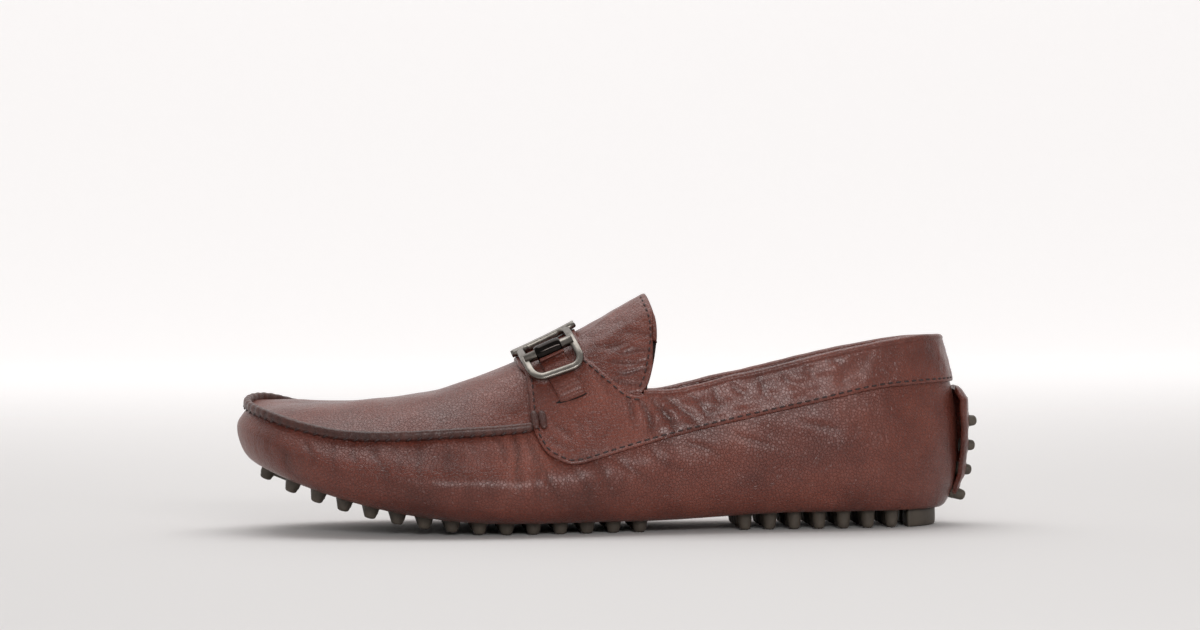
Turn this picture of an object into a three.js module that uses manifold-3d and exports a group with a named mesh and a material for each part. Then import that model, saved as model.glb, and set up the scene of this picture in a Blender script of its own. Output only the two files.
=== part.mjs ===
// A man's driving moccasin, the left shoe: a hollow leather upper wrapped under the foot, rubber
// pebble soles let into its bottom, and the leather, rubber and metal pieces sewn onto it.
//
// Frame: millimetres, +Z up from the floor, -X towards the toe, -Y towards the outer side of the
// foot. The origin is on the floor, in the middle of the length and of the ball's width.

import * as THREE from "three";
import { ParametricGeometry } from "three/addons/geometries/ParametricGeometry.js";
import { mergeVertices } from "three/addons/utils/BufferGeometryUtils.js";
import Module from "manifold-3d";

const wasm = await Module();
wasm.setup();

// ---------------------------------------------------------------- driving dimensions

const LENGTH = 282; // over the leather, toe to back seam
const BALL_WIDTH = 100; // over the leather, at the ball of the foot
const HEEL_WIDTH = 68; // over the leather, at the heel
const BACK_HEIGHT = 73; // floor to collar at the back seam
const INSTEP_HEIGHT = 67; // floor to the ridge of the instep, at the front of the saddle
const TONGUE_HEIGHT = 91.5; // floor to the top of the tongue
const TOE_SPRING = 21.6; // how far the bottom of the toe lifts above the bottom of the ball
const COLLAR_TILT = 2; // degrees that the collar falls towards the inner side

const WALL = 1.8; // leather and lining of the upper
const OVERLAY = 1.2; // leather of the saddle, sewn over the upper
const SEAM_RADIUS = 1.9; // half the width of the raised moccasin seam
const INSOLE = 2;
const GAP = 0.3; // between pieces that lie on each other

const PEBBLE_HEIGHT = 4.6; // under the forefoot
const HEEL_PEBBLE_HEIGHT = 7; // under the heel
const PEBBLE_BASE = 6.2; // diameter at the sole
const PEBBLE_TIP = 4.8; // diameter at the tread
const PEBBLE_PITCH = 10;
const PEBBLE_SIDES = 6;
const SOLE_MARGIN = 1.5; // leather left between the edge of the bottom and the rubber

const PATCH_LEATHER = 1.4; // heel patch
const BACK_STRIP = 2; // rubber strip under the heel patch, in its middle
const BACK_PEBBLE_HEIGHT = 3.4; // out of the heel patch
const BACK_PEBBLE_BASE = 4.6;
const BACK_PEBBLE_TIP = 3.8;
const BACK_PEBBLE_COUNT = 4;

const STRAP_WIDTH = 10;
const STRAP = 1.3; // leather of the keeper straps
const RING_LENGTH = 23; // along the shoe
const RING_DROP = 27; // down the side of the instep
const RING_BAR = 2.9; // width of the ring's metal
const RING_THICK = 2.2;
const METAL_CLEAR = 0.5; // between the metal and the leather under it
const TOP_BAR_LENGTH = 27.4; // the upper bar, past the ring's corners
const LINK_WIDTH = 6.4;
const ROLLER_LENGTH = 10.5;
const ROLLER_RADIUS = 3.2;
const ROLLER_WALL = 0.9;

// ---------------------------------------------------------------- curves with even curvature

// A closed curve through evenly spaced values, whose curvature is continuous.
function smoothLoop(values) {
  const n = values.length;
  const at = (i) => ((i % n) + n) % n;
  let bend = values.map(() => 0);
  for (let pass = 0; pass < 40; pass++)
    bend = bend.map((_, i) => {
      const second = values[at(i - 1)] - 2 * values[i] + values[at(i + 1)];
      return (6 * second - bend[at(i - 1)] - bend[at(i + 1)]) / 4;
    });
  return (s) => {
    const i = Math.floor(s);
    const b = s - i;
    const a = 1 - b;
    const pull = (a ** 3 - a) * bend[at(i)] + (b ** 3 - b) * bend[at(i + 1)];
    return a * values[at(i)] + b * values[at(i + 1)] + pull / 6;
  };
}

// A straight-ended curve through (x, z) knots, whose curvature is continuous.
function smoothLine(knots) {
  const last = knots.length - 1;
  const step = (i) => knots[i + 1][0] - knots[i][0];
  const slope = (i) => (knots[i + 1][1] - knots[i][1]) / step(i);
  const bend = knots.map(() => 0);
  for (let pass = 0; pass < 80; pass++)
    for (let i = 1; i < last; i++) {
      const known = step(i - 1) * bend[i - 1] + step(i) * bend[i + 1];
      bend[i] = (6 * (slope(i) - slope(i - 1)) - known) / (2 * (step(i - 1) + step(i)));
    }
  return (x) => {
    let i = 0;
    while (i < last - 1 && x > knots[i + 1][0]) i++;
    const h = step(i);
    const b = (x - knots[i][0]) / h;
    const a = 1 - b;
    const pull = ((a ** 3 - a) * bend[i] + (b ** 3 - b) * bend[i + 1]) * h * h;
    return a * knots[i][1] + b * knots[i + 1][1] + pull / 6;
  };
}

// ---------------------------------------------------------------- the last

const BEHIND_THE_BACK = GAP * 2 + BACK_STRIP + PATCH_LEATHER + BACK_PEBBLE_HEIGHT;
const TOE_X = -(LENGTH + BEHIND_THE_BACK) / 2;
const along = (share) => TOE_X + share * LENGTH;
const ball = (share) => share * BALL_WIDTH;
const heel = (share) => share * HEEL_WIDTH;
const fore = (share) => share * INSTEP_HEIGHT;
const back = (share) => share * BACK_HEIGHT;

const SPRING_START = along(0.372);
const SPRING_END = along(0.025);
const WAIST_FRONT = along(0.55);
const WAIST_BACK = along(0.78);

// Height of the upper's bottom, which is flat from side to side.
function keel(x) {
  const toe = Math.max(0, (SPRING_START - x) / (SPRING_START - SPRING_END));
  const waist = THREE.MathUtils.smoothstep(x, WAIST_FRONT, WAIST_BACK);
  return PEBBLE_HEIGHT + TOE_SPRING * toe * toe + (HEEL_PEBBLE_HEIGHT - PEBBLE_HEIGHT) * waist;
}

// Height of the ridge along the top of the closed last, from the toe over the instep. Behind the
// tongue it only closes the form: the foot's opening is cut there.
const crest = smoothLine([
  [along(0.0865), fore(0.735)],
  [along(0.186), fore(0.757)],
  [along(0.286), fore(0.826)],
  [along(0.369), fore(0.952)],
  [along(0.469), (INSTEP_HEIGHT + TONGUE_HEIGHT) / 2 - fore(0.03)],
  [along(0.562), TONGUE_HEIGHT + back(0.006)],
  [along(0.72), TONGUE_HEIGHT + back(0.2)],
  [along(0.92), TONGUE_HEIGHT + back(0.12)],
]);

// Sixteen stations round the shoe: 0 is the toe, 1 to 7 the outer side, 8 the back seam and 9 to
// 15 the inner side. Each gives three points, as [x, y, z]: the feather, where the flat bottom
// ends; the breadth, where the side stands upright; and the shoulder, which is the moccasin seam in
// front and the collar behind. Then come the angles from the floor at which the wall reaches the
// shoulder and the top leaves it.
const STATIONS = [
  [[0.026, ball(0.06)], [0, ball(0.06), fore(0.604)], [0.014, ball(0.06), fore(0.724)], 74, 8],
  [[0.064, ball(-0.155)], [0.042, ball(-0.22), fore(0.522)], [0.055, ball(-0.185), fore(0.652)], 70, 16],
  [[0.16, ball(-0.31)], [0.142, ball(-0.41), fore(0.373)], [0.155, ball(-0.325), fore(0.561)], 62, 32],
  [[0.3, ball(-0.37)], [0.287, ball(-0.5), fore(0.272)], [0.3, ball(-0.37), fore(0.573)], 58, 42],
  [[0.443, ball(-0.36)], [0.443, ball(-0.472), fore(0.266)], [0.448, ball(-0.35), fore(0.634)], 62, 60],
  [[0.613, heel(-0.4)], [0.613, heel(-0.565), back(0.275)], [0.617, heel(-0.47), back(0.757)], 76, 74],
  [[0.784, heel(-0.37)], [0.784, heel(-0.5), back(0.315)], [0.784, heel(-0.42), back(0.904)], 82, 82],
  [[0.916, heel(-0.29)], [0.929, heel(-0.38), back(0.365)], [0.924, heel(-0.3), back(1.004)], 82, 82],
  [[0.974, 0], [1, 0, back(0.46)], [0.974, 0, back(1)], 76, 76],
  [[0.916, heel(0.29)], [0.929, heel(0.38), back(0.365)], [0.924, heel(0.3), back(1.004)], 82, 82],
  [[0.777, heel(0.34)], [0.777, heel(0.485), back(0.325)], [0.777, heel(0.41), back(0.9)], 82, 82],
  [[0.599, heel(0.28)], [0.599, heel(0.47), back(0.305)], [0.605, heel(0.43), back(0.752)], 76, 74],
  [[0.422, ball(0.28)], [0.422, ball(0.42), fore(0.29)], [0.436, ball(0.31), fore(0.665)], 64, 60],
  [[0.28, ball(0.36)], [0.266, ball(0.5), fore(0.3)], [0.287, ball(0.36), fore(0.625)], 60, 42],
  [[0.14, ball(0.34)], [0.117, ball(0.44), fore(0.41)], [0.131, ball(0.355), fore(0.657)], 64, 28],
  [[0.052, ball(0.225)], [0.028, ball(0.28), fore(0.537)], [0.044, ball(0.25), fore(0.741)], 71, 12],
];
const COUNT = STATIONS.length;
const BACK_SEAM = COUNT / 2;

// How far along the middle of the shoe each station's section starts, the same on both sides.
const MIDDLE_X = [0.1, 0.13, 0.2, 0.31, 0.448, 0.61, 0.775, 0.88, 0.925];
const middleX = smoothLoop(STATIONS.map((_, i) => along(MIDDLE_X[Math.min(i, COUNT - i)])));

const loopOf = (pick) => smoothLoop(STATIONS.map(pick));
const featherX = loopOf((row) => along(row[0][0]));
const featherY = loopOf((row) => row[0][1]);
const [breadth, shoulder] = [1, 2].map((guide) => {
  const x = loopOf((row) => along(row[guide][0]));
  const y = loopOf((row) => row[guide][1]);
  const z = loopOf((row) => row[guide][2]);
  return (s) => new THREE.Vector3(x(s), y(s), z(s));
});
const wallAngle = loopOf((row) => THREE.MathUtils.degToRad(row[3]));
const topAngle = loopOf((row) => THREE.MathUtils.degToRad(row[4]));

const ARC = 0.55; // handle length that makes a cubic curve follow a quarter circle
const UP = new THREE.Vector3(0, 0, 1);

const onKeel = (x, y) => new THREE.Vector3(x, y, keel(x));
const onCrest = (x, y) => new THREE.Vector3(x, y, crest(x));

// The four stretches of the section at station s: bottom, flank, wall and top.
function section(s) {
  const feather = onKeel(featherX(s), featherY(s));
  const side = breadth(s);
  const edge = shoulder(s);
  const middleY = (breadth(s).y + breadth(-s).y) / 2;
  const bottom = onKeel(middleX(s), middleY);
  const top = onCrest(middleX(s), middleY);

  const out = new THREE.Vector2(side.x - feather.x, side.y - feather.y).multiplyScalar(ARC);
  const flankStart = onKeel(feather.x + out.x, feather.y + out.y);
  const flankEnd = side.clone().addScaledVector(UP, -ARC * (side.z - feather.z));

  const inward = new THREE.Vector3(top.x - edge.x, top.y - edge.y, 0);
  const reach = inward.length();
  inward.normalize();
  const climb = (angle) =>
    inward.clone().multiplyScalar(Math.cos(angle)).addScaledVector(UP, Math.sin(angle));
  const rise = edge.z - side.z;
  const wallStart = side.clone().addScaledVector(UP, 0.4 * rise);
  const wallEnd = edge.clone().addScaledVector(climb(wallAngle(s)), -0.4 * rise);

  const topHandle = 0.3 * Math.hypot(reach, top.z - edge.z);
  const topStart = edge.clone().addScaledVector(climb(topAngle(s)), topHandle);
  const before = top.clone().addScaledVector(inward, -0.5 * reach);
  const topEnd = onCrest(before.x, before.y);

  return [
    { getPoint: (t) => onKeel(...["x", "y"].map((k) => bottom[k] + t * (feather[k] - bottom[k]))) },
    new THREE.CubicBezierCurve3(feather, flankStart, flankEnd, side),
    new THREE.CubicBezierCurve3(side, wallStart, wallEnd, edge),
    new THREE.CubicBezierCurve3(edge, topStart, topEnd, top),
  ];
}

const ROWS = [3, 4, 3, 6]; // in the bottom, flank, wall and top
const ROW_COUNT = ROWS.reduce((sum, rows) => sum + rows);
const COLUMNS = COUNT * 3;

// The point of the last's skin at station s, a share t along one stretch of its section.
const skinPoint = (s, stretch, t) => section(s)[stretch].getPoint(t);

// ---------------------------------------------------------------- solids

function solidOf(geometry) {
  const bare = new THREE.BufferGeometry();
  bare.setAttribute("position", geometry.getAttribute("position").clone());
  bare.setIndex(geometry.index);
  const merged = mergeVertices(bare, 1e-3);
  const vertProperties = new Float32Array(merged.attributes.position.array);
  const triVerts = new Uint32Array(merged.index.array);
  return new wasm.Manifold(new wasm.Mesh({ numProp: 3, vertProperties, triVerts }));
}

function geometryOf(solid) {
  const { numProp, vertProperties, triVerts } = solid.getMesh();
  const position = new THREE.InterleavedBuffer(vertProperties, numProp);
  return new THREE.BufferGeometry()
    .setAttribute("position", new THREE.InterleavedBufferAttribute(position, 3, 0))
    .setIndex(new THREE.BufferAttribute(triVerts, 1));
}

const lastSkin = (() => {
  const skin = new ParametricGeometry(
    (u, v, target) => {
      let row = v * ROW_COUNT;
      let stretch = 0;
      while (stretch < ROWS.length - 1 && row > ROWS[stretch] + 1e-6) row -= ROWS[stretch++];
      target.copy(skinPoint(u * COUNT, stretch, row / ROWS[stretch]));
    },
    COLUMNS,
    ROW_COUNT,
  );
  skin.deleteAttribute("normal");
  skin.deleteAttribute("uv");
  const merged = mergeVertices(skin, 1e-2);
  merged.computeVertexNormals();
  return merged;
})();

// The closed last, grown along its normals by a distance, or by a function of the place.
function form(grow) {
  const grown = lastSkin.clone();
  const place = new THREE.Vector3();
  const normal = new THREE.Vector3();
  const { position, normal: normals } = grown.attributes;
  for (let i = 0; i < position.count; i++) {
    place.fromBufferAttribute(position, i);
    normal.fromBufferAttribute(normals, i);
    place.addScaledVector(normal, typeof grow === "function" ? grow(place) : grow);
    position.setXYZ(i, ...place);
  }
  return solidOf(grown);
}

const FAR = 400; // longer than anything here

// A solid with an outline seen from the side, as (x, z), right through the shoe.
function sidePrism(outline, curveSegments = 3, depth = FAR) {
  const prism = new THREE.ExtrudeGeometry(outline, { depth, bevelEnabled: false, curveSegments });
  prism.translate(0, 0, -depth / 2);
  prism.rotateX(Math.PI / 2);
  return prism;
}

// A solid with an outline seen from above, as (x, y), right through the shoe.
function planPrism(outline) {
  const prism = new THREE.ExtrudeGeometry(outline, { depth: FAR, bevelEnabled: false });
  return solidOf(prism.translate(0, 0, -FAR / 2));
}

const shapeOf = (points) => new THREE.Shape(points.map(([x, y]) => new THREE.Vector2(x, y)));

// ---------------------------------------------------------------- edges of the leather pieces

// The collar's height seen from the side, and the curve of the tongue's free edge above it.
const THROAT_X = along(0.5486);
const THROAT_Z = back(0.718);
const COLLAR = [
  [along(0.591), back(0.721)],
  [along(0.629), back(0.75)],
  [along(0.668), back(0.788)],
  [along(0.708), back(0.818)],
  [along(0.768), back(0.873)],
  [along(0.8365), back(0.932)],
  [along(0.903), back(0.98)],
  [along(0.939), back(0.998)],
  [along(0.972), back(1)],
];
const TONGUE_BULGE = 0.0235; // of the length, behind the throat

const vectors = (points) => points.map(([x, y]) => new THREE.Vector2(x, y));

function openingOutline() {
  const outline = new THREE.Shape();
  outline.moveTo(THROAT_X, THROAT_Z);
  outline.splineThru(vectors(COLLAR));
  outline.lineTo(FAR, back(1));
  outline.lineTo(FAR, FAR);
  outline.lineTo(along(0.5), FAR);
  outline.lineTo(along(0.53), TONGUE_HEIGHT + back(0.1));
  outline.lineTo(along(0.561), TONGUE_HEIGHT);
  const bulge = LENGTH * TONGUE_BULGE;
  const tall = TONGUE_HEIGHT - THROAT_Z;
  const edge = [
    [0.68, 0.93],
    [0.95, 0.76],
    [1, 0.6],
    [0.9, 0.46],
    [0.72, 0.3],
    [0.42, 0.12],
    [0, 0],
  ];
  outline.splineThru(vectors(edge.map(([x, z]) => [THROAT_X + bulge * x, THROAT_Z + tall * z])));
  return outline;
}
const opening = solidOf(
  sidePrism(openingOutline()).rotateX(THREE.MathUtils.degToRad(-COLLAR_TILT)),
);

// Everything behind the seam that joins the tongue to the saddle, moved back by a clearance.
const TONGUE_SEAM = [
  [along(0.465), FAR],
  [along(0.466), fore(1.15)],
  [along(0.468), fore(1.095)],
  [along(0.474), fore(1.009)],
  [along(0.489), fore(0.951)],
  [along(0.513), fore(0.861)],
  [along(0.532), THROAT_Z + back(0.012)],
  [THROAT_X, THROAT_Z],
];
const tongueSide = (clear) =>
  solidOf(
    sidePrism(
      shapeOf([
        ...TONGUE_SEAM.map(([x, z]) => [x + clear, z + clear / 2]),
        [THROAT_X + LENGTH * 0.03, THROAT_Z + clear / 2],
        [THROAT_X + LENGTH * 0.1, FAR],
      ]),
    ),
  );

// The saddle seen from the side: its front edge over the instep, then the long seam that dips
// behind the moccasin seam and climbs to the back of the heel.
const SADDLE_FRONT = [
  [along(0.378), FAR],
  [along(0.383), fore(0.985)],
  [along(0.3945), fore(0.888)],
  [along(0.397), fore(0.681)],
];
const SADDLE_SEAM = [
  [along(0.402), fore(0.569)],
  [along(0.415), fore(0.473)],
  [along(0.436), fore(0.421)],
  [along(0.452), fore(0.405)],
  [along(0.473), fore(0.42)],
  [along(0.5195), back(0.437)],
  [along(0.6), back(0.52)],
  [along(0.7075), back(0.612)],
  [along(0.787), back(0.676)],
  [along(0.867), back(0.742)],
  [along(0.934), back(0.767)],
  [along(0.99), back(0.771)],
];
function saddleOutline(clear = 0) {
  const outline = new THREE.Shape();
  SADDLE_FRONT.forEach(([x, z], i) => outline[i ? "lineTo" : "moveTo"](x - clear, z));
  outline.splineThru(SADDLE_SEAM.map(([x, z]) => new THREE.Vector2(x, z - clear)));
  outline.lineTo(FAR, back(0.771) - clear);
  outline.lineTo(FAR, FAR);
  return outline;
}
const saddleSide = (clear) => solidOf(sidePrism(saddleOutline(clear)));

// ---------------------------------------------------------------- the soles

const FOREFOOT_END = along(0.563);
const HEEL_START = along(0.677);

// The feather line in plan, moved inwards by a margin.
function footprint(margin, steps = COUNT * 4) {
  return Array.from({ length: steps }, (_, i) => {
    const s = (COUNT * i) / steps;
    const alongX = featherX(s + 0.05) - featherX(s - 0.05);
    const alongY = featherY(s + 0.05) - featherY(s - 0.05);
    const inward = new THREE.Vector2(-alongY, alongX).normalize();
    return new THREE.Vector2(featherX(s), featherY(s)).addScaledVector(inward, margin);
  });
}

// The part of the footprint between two places along the shoe, as an upright solid.
function soleColumn(margin, fromX, toX) {
  const strip = shapeOf([
    [fromX, -FAR],
    [toX, -FAR],
    [toX, FAR],
    [fromX, FAR],
  ]);
  return planPrism(new THREE.Shape(footprint(margin))).intersect(planPrism(strip));
}

// A sheet that follows the bottom, between two heights above it.
function bottomSheet(low, high, steps = 24) {
  const xs = Array.from({ length: steps + 1 }, (_, i) => along(0.02) + (LENGTH * 0.97 * i) / steps);
  const under = xs.map((x) => [x, keel(x) + low]);
  const over = xs.map((x) => [x, keel(x) + high]);
  return solidOf(sidePrism(shapeOf([...under, ...over.reverse()])));
}

// A pebble standing out of a face: the foot is sunk by `sunk` so that it joins what carries it.
function pebble(place, outward, height, baseWidth, tipWidth, sunk, sides = PEBBLE_SIDES) {
  const shape = new THREE.CylinderGeometry(tipWidth / 2, baseWidth / 2, height + sunk, sides);
  shape.translate(0, (height - sunk) / 2, 0);
  const turn = new THREE.Quaternion().setFromUnitVectors(new THREE.Vector3(0, 1, 0), outward);
  return solidOf(shape.applyQuaternion(turn).translate(...place));
}

// Where a line across the shoe at x enters and leaves an outline.
function crossing(outline, x) {
  const ys = [];
  outline.forEach((a, i) => {
    const b = outline[(i + 1) % outline.length];
    if (a.x < x !== b.x < x) ys.push(a.y + ((b.y - a.y) * (x - a.x)) / (b.x - a.x));
  });
  return [Math.min(...ys), Math.max(...ys)];
}

// Which way the pebbles point: square to the bottom under the toe, upright behind it.
function bottomNormal(x) {
  const slope = Math.min(0, keel(x + 0.5) - keel(x - 0.5));
  return new THREE.Vector3(slope, 0, -1).normalize();
}

// Evenly spaced places along the bottom, a pitch apart or nearly so.
function evenRows(from, to, pitch) {
  const fine = Array.from({ length: 201 }, (_, i) => from + ((to - from) * i) / 200);
  const run = [0];
  for (let i = 1; i < fine.length; i++) {
    const [dx, dz] = [fine[i] - fine[i - 1], keel(fine[i]) - keel(fine[i - 1])];
    run.push(run[i - 1] + Math.hypot(dx, dz));
  }
  const gaps = Math.max(1, Math.round(run[200] / pitch));
  return Array.from({ length: gaps + 1 }, (_, k) => {
    const target = (run[200] * k) / gaps;
    const i = Math.max(1, run.findIndex((length) => length >= target - 1e-9));
    return fine[i - 1] + ((fine[i] - fine[i - 1]) * (target - run[i - 1])) / (run[i] - run[i - 1]);
  });
}

// Pebbles in rows across the shoe: every row runs from edge to edge of the outline.
function pebbleSpots(outline, from, to) {
  return evenRows(from, to, PEBBLE_PITCH).flatMap((x) => {
    const [low, high] = crossing(outline, x);
    const gaps = Math.round((high - low) / PEBBLE_PITCH);
    if (!gaps) return [new THREE.Vector3(x, (low + high) / 2, keel(x))];
    return Array.from(
      { length: gaps + 1 },
      (_, i) => new THREE.Vector3(x, low + ((high - low) * i) / gaps, keel(x)),
    );
  });
}

// A pebble ends on the floor, except under the toe, where it keeps the height of the ball's.
function solePebble(spot) {
  const tall = spot.x > SPRING_START ? keel(spot.x) : PEBBLE_HEIGHT;
  return pebble(spot, bottomNormal(spot.x), tall, PEBBLE_BASE, PEBBLE_TIP, WALL / 2);
}

const EDGE_INSET = SOLE_MARGIN + PEBBLE_BASE / 2; // a pebble's middle, from the feather line
const pebbleLimit = footprint(EDGE_INSET);
const toeTip = Math.min(...pebbleLimit.map((point) => point.x));
const forefootPebbles = pebbleSpots(pebbleLimit, FOREFOOT_END - EDGE_INSET, toeTip + 0.2);
const HEEL_BLOCK_FRONT = along(0.921);
const heelPebbles = pebbleSpots(pebbleLimit, HEEL_START + EDGE_INSET, along(0.8985));

const bottomLeather = bottomSheet(0, WALL);
const forefootColumn = (margin) => soleColumn(margin, -FAR, FOREFOOT_END + SOLE_MARGIN - margin);
const heelColumn = (margin) => soleColumn(margin, HEEL_START - SOLE_MARGIN + margin, FAR);
const union = (solids) => solids.reduce((sum, solid) => sum.add(solid));

// Under the forefoot lie two pads: a small one under the toe, and one under the ball.
const TOE_PAD_ROWS = 3;
const rowsFromToe = [...new Set(forefootPebbles.map((spot) => spot.x))].sort((a, b) => a - b);
const PAD_SPLIT = (rowsFromToe[TOE_PAD_ROWS - 1] + rowsFromToe[TOE_PAD_ROWS]) / 2;

function pad(fromX, toX) {
  const sheet = bottomLeather.intersect(soleColumn(SOLE_MARGIN, fromX, toX));
  const spots = forefootPebbles.filter((spot) => spot.x > fromX && spot.x < toX);
  return union([sheet, ...spots.map(solePebble)]);
}

// Low bars tie the two foremost rows of pebbles, along the shoe.
function toeBars() {
  const [frontX, nextX] = rowsFromToe;
  const front = forefootPebbles.filter((spot) => spot.x === frontX);
  return front.map(({ y }) => {
    const bar = shapeOf([
      [frontX, keel(frontX) + WALL / 2],
      [nextX, keel(nextX) + WALL / 2],
      [nextX, keel(nextX) - PEBBLE_HEIGHT * 0.45],
      [frontX, keel(frontX) - PEBBLE_HEIGHT * 0.45],
    ]);
    return solidOf(sidePrism(bar, 1, PEBBLE_TIP / 2).translate(0, y, 0));
  });
}

const toeSole = () => union([pad(-FAR, PAD_SPLIT - GAP / 2), ...toeBars()]);
const forefootSole = () => pad(PAD_SPLIT + GAP / 2, FOREFOOT_END);

// The back of the heel stands on one crescent block instead of pebbles.
const BLOCK_DEPTH = 11;
function heelSole() {
  const column = heelColumn(SOLE_MARGIN);
  const top = keel(along(1)) + WALL / 2;
  const rear = new THREE.BoxGeometry(LENGTH, FAR, top);
  rear.translate(HEEL_BLOCK_FRONT + LENGTH / 2, 0, top / 2);
  const block = column.subtract(heelColumn(SOLE_MARGIN + BLOCK_DEPTH)).intersect(solidOf(rear));
  return union([bottomLeather.intersect(column), block, ...heelPebbles.map(solePebble)]);
}

// ---------------------------------------------------------------- upper, tongue, saddle, insole

const outside = form(0);
const inside = form(-WALL);

function upper() {
  const shell = outside.subtract(inside).subtract(opening);
  const windows = forefootColumn(SOLE_MARGIN - GAP).add(heelColumn(SOLE_MARGIN - GAP));
  return shell.subtract(bottomSheet(-1, WALL + 1).intersect(windows)).subtract(tongueSide(0));
}

const tongue = () => outside.subtract(inside).subtract(opening).intersect(tongueSide(GAP));

const saddleOver = form(GAP + OVERLAY);
const clearOfUpper = form(GAP);
const saddle = () =>
  saddleOver
    .subtract(clearOfUpper)
    .intersect(saddleSide(0))
    .subtract(opening)
    .subtract(tongueSide(0));

const insole = () => form(-WALL - GAP).intersect(bottomSheet(-1, WALL + GAP + INSOLE));

// The raised seam between the wrap and the apron, from the saddle round the toe and back.
function moccasinSeam() {
  const SEAM_STATIONS = 3.95; // each side of the toe, into the saddle
  const steps = 40;
  const points = Array.from({ length: steps + 1 }, (_, i) => {
    const s = SEAM_STATIONS * ((2 * i) / steps - 1);
    const out = shoulder(s).sub(onCrest(middleX(s), 0).setZ(shoulder(s).z)).setZ(0).normalize();
    return shoulder(s).addScaledVector(UP, 0.9).addScaledVector(out, 0.4);
  });
  const round = new THREE.Shape().absellipse(0, 0, SEAM_RADIUS, SEAM_RADIUS, 0, 2 * Math.PI);
  const bead = new THREE.ExtrudeGeometry(round, {
    extrudePath: new THREE.CatmullRomCurve3(points),
    steps,
    curveSegments: 3,
  });
  return solidOf(bead).subtract(clearOfUpper).subtract(saddleSide(GAP));
}

// ---------------------------------------------------------------- heel patch and back pebbles

const PATCH_FOOT = back(0.105);
const PATCH_TOP = back(0.745);
const PATCH_EDGE_X = along(0.986);
const heightOnPatch = (z) => THREE.MathUtils.clamp((z - PATCH_FOOT) / (PATCH_TOP - PATCH_FOOT), 0, 1);

// The rubber strip is a wedge, thin at the bottom.
const stripAt = (z) => BACK_STRIP * (0.45 + 1.95 * heightOnPatch(z) ** 2);

// How far the patch stands off the upper: most along the back seam, least at its edges.
function patchStandOff(place) {
  const across = THREE.MathUtils.clamp(Math.abs(place.y) / heel(0.27), 0, 1);
  const up = heightOnPatch(place.z);
  const swell = Math.min(1, 4 * up, 8 * (1 - up)) * (1 - across ** 3);
  return GAP + (stripAt(place.z) + GAP) * Math.max(0, swell);
}

function patchOutline() {
  const tall = PATCH_TOP - PATCH_FOOT;
  const outline = new THREE.Shape();
  outline.moveTo(PATCH_EDGE_X + LENGTH * 0.002, PATCH_FOOT + tall * 0.05);
  outline.lineTo(PATCH_EDGE_X + LENGTH * 0.006, PATCH_FOOT);
  outline.lineTo(FAR, PATCH_FOOT);
  outline.lineTo(FAR, PATCH_TOP);
  outline.lineTo(PATCH_EDGE_X + LENGTH * 0.006, PATCH_TOP);
  outline.quadraticCurveTo(PATCH_EDGE_X, PATCH_TOP - tall * 0.03, PATCH_EDGE_X, PATCH_TOP - tall * 0.15);
  outline.lineTo(PATCH_EDGE_X + LENGTH * 0.007, PATCH_TOP - tall * 0.45);
  outline.lineTo(PATCH_EDGE_X + LENGTH * 0.0065, PATCH_TOP - tall * 0.75);
  return outline;
}
const patchSide = solidOf(sidePrism(patchOutline(), 4));

// Where the back seam's skin is at a height, and which way it faces.
function backPoint(z) {
  const profile = [1, 2].flatMap((stretch) =>
    Array.from({ length: 25 }, (_, i) => skinPoint(BACK_SEAM, stretch, i / 24)),
  );
  const i = profile.findIndex((point, k) => k > 0 && point.z >= z && profile[k - 1].z < z);
  const [low, high] = [profile[i - 1], profile[i]];
  const place = low.clone().lerp(high, (z - low.z) / (high.z - low.z));
  return { place, outward: new THREE.Vector3(high.z - low.z, 0, low.x - high.x).normalize() };
}

const BACK_PEBBLE_LOW = back(0.175);
const BACK_PEBBLE_PITCH = back(0.1245);
const backPebbleSpots = Array.from({ length: BACK_PEBBLE_COUNT }, (_, i) =>
  backPoint(BACK_PEBBLE_LOW + i * BACK_PEBBLE_PITCH),
);
function backPebble({ place, outward }, clear = 0) {
  const sunk = stripAt(place.z) * 0.6;
  const foot = place.clone().addScaledVector(outward, GAP + stripAt(place.z));
  const height = GAP + PATCH_LEATHER + BACK_PEBBLE_HEIGHT + clear * 4;
  const widths = [BACK_PEBBLE_BASE, BACK_PEBBLE_TIP].map((width) => width + 2 * clear);
  return pebble(foot, outward, height, ...widths, sunk, 8);
}

// Each pebble stands on a round button of rubber, and a rib joins the buttons under the patch.
function backPebbles() {
  const strip = form((place) => patchStandOff(place) - GAP).subtract(clearOfUpper);
  const rib = new THREE.Shape();
  const half = BACK_PEBBLE_BASE * 0.75;
  rib.absarc(0, 0, half, 0, 2 * Math.PI);
  const low = backPebbleSpots[0].place.z - half;
  const high = backPebbleSpots[BACK_PEBBLE_COUNT - 1].place.z + half;
  const band = new THREE.BoxGeometry(LENGTH / 4, 2 * half, high - low);
  band.translate(along(1), 0, (low + high) / 2);
  return union([strip.intersect(solidOf(band)), ...backPebbleSpots.map((spot) => backPebble(spot))]);
}

function heelPatch() {
  const over = form((place) => patchStandOff(place) + PATCH_LEATHER);
  const holes = backPebbleSpots.map((spot) => backPebble(spot, GAP));
  return over.subtract(form(patchStandOff)).intersect(patchSide).subtract(union(holes));
}

// ---------------------------------------------------------------- metal ornament and its straps

// The ornament lies on the instep: a closed ring on each side, joined over the ridge by two links.
// Each ring carries a roller on an axle, and holds a strap down under its lower bar.
const OUTER_RING_STATION = 3.88;
const INNER_RING_STATION = 3.94;
const RING_SEAT = 0.7; // share of the way from the shoulder up to the ridge
const RING_CORNER = 6;
const TOP_BAR = (RING_DROP - RING_BAR) / 2; // up the side from the middle of the ring
const AXLE = -1.4; // up the side from the middle of the ring
const AXLE_LIFT = 2 * GAP + OVERLAY + ROLLER_RADIUS; // above the upper
const TOP = 3; // the top stretch of a section
const OUTER = 1; // stations count up from the toe along the outer side
const INNER = -1;

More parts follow.
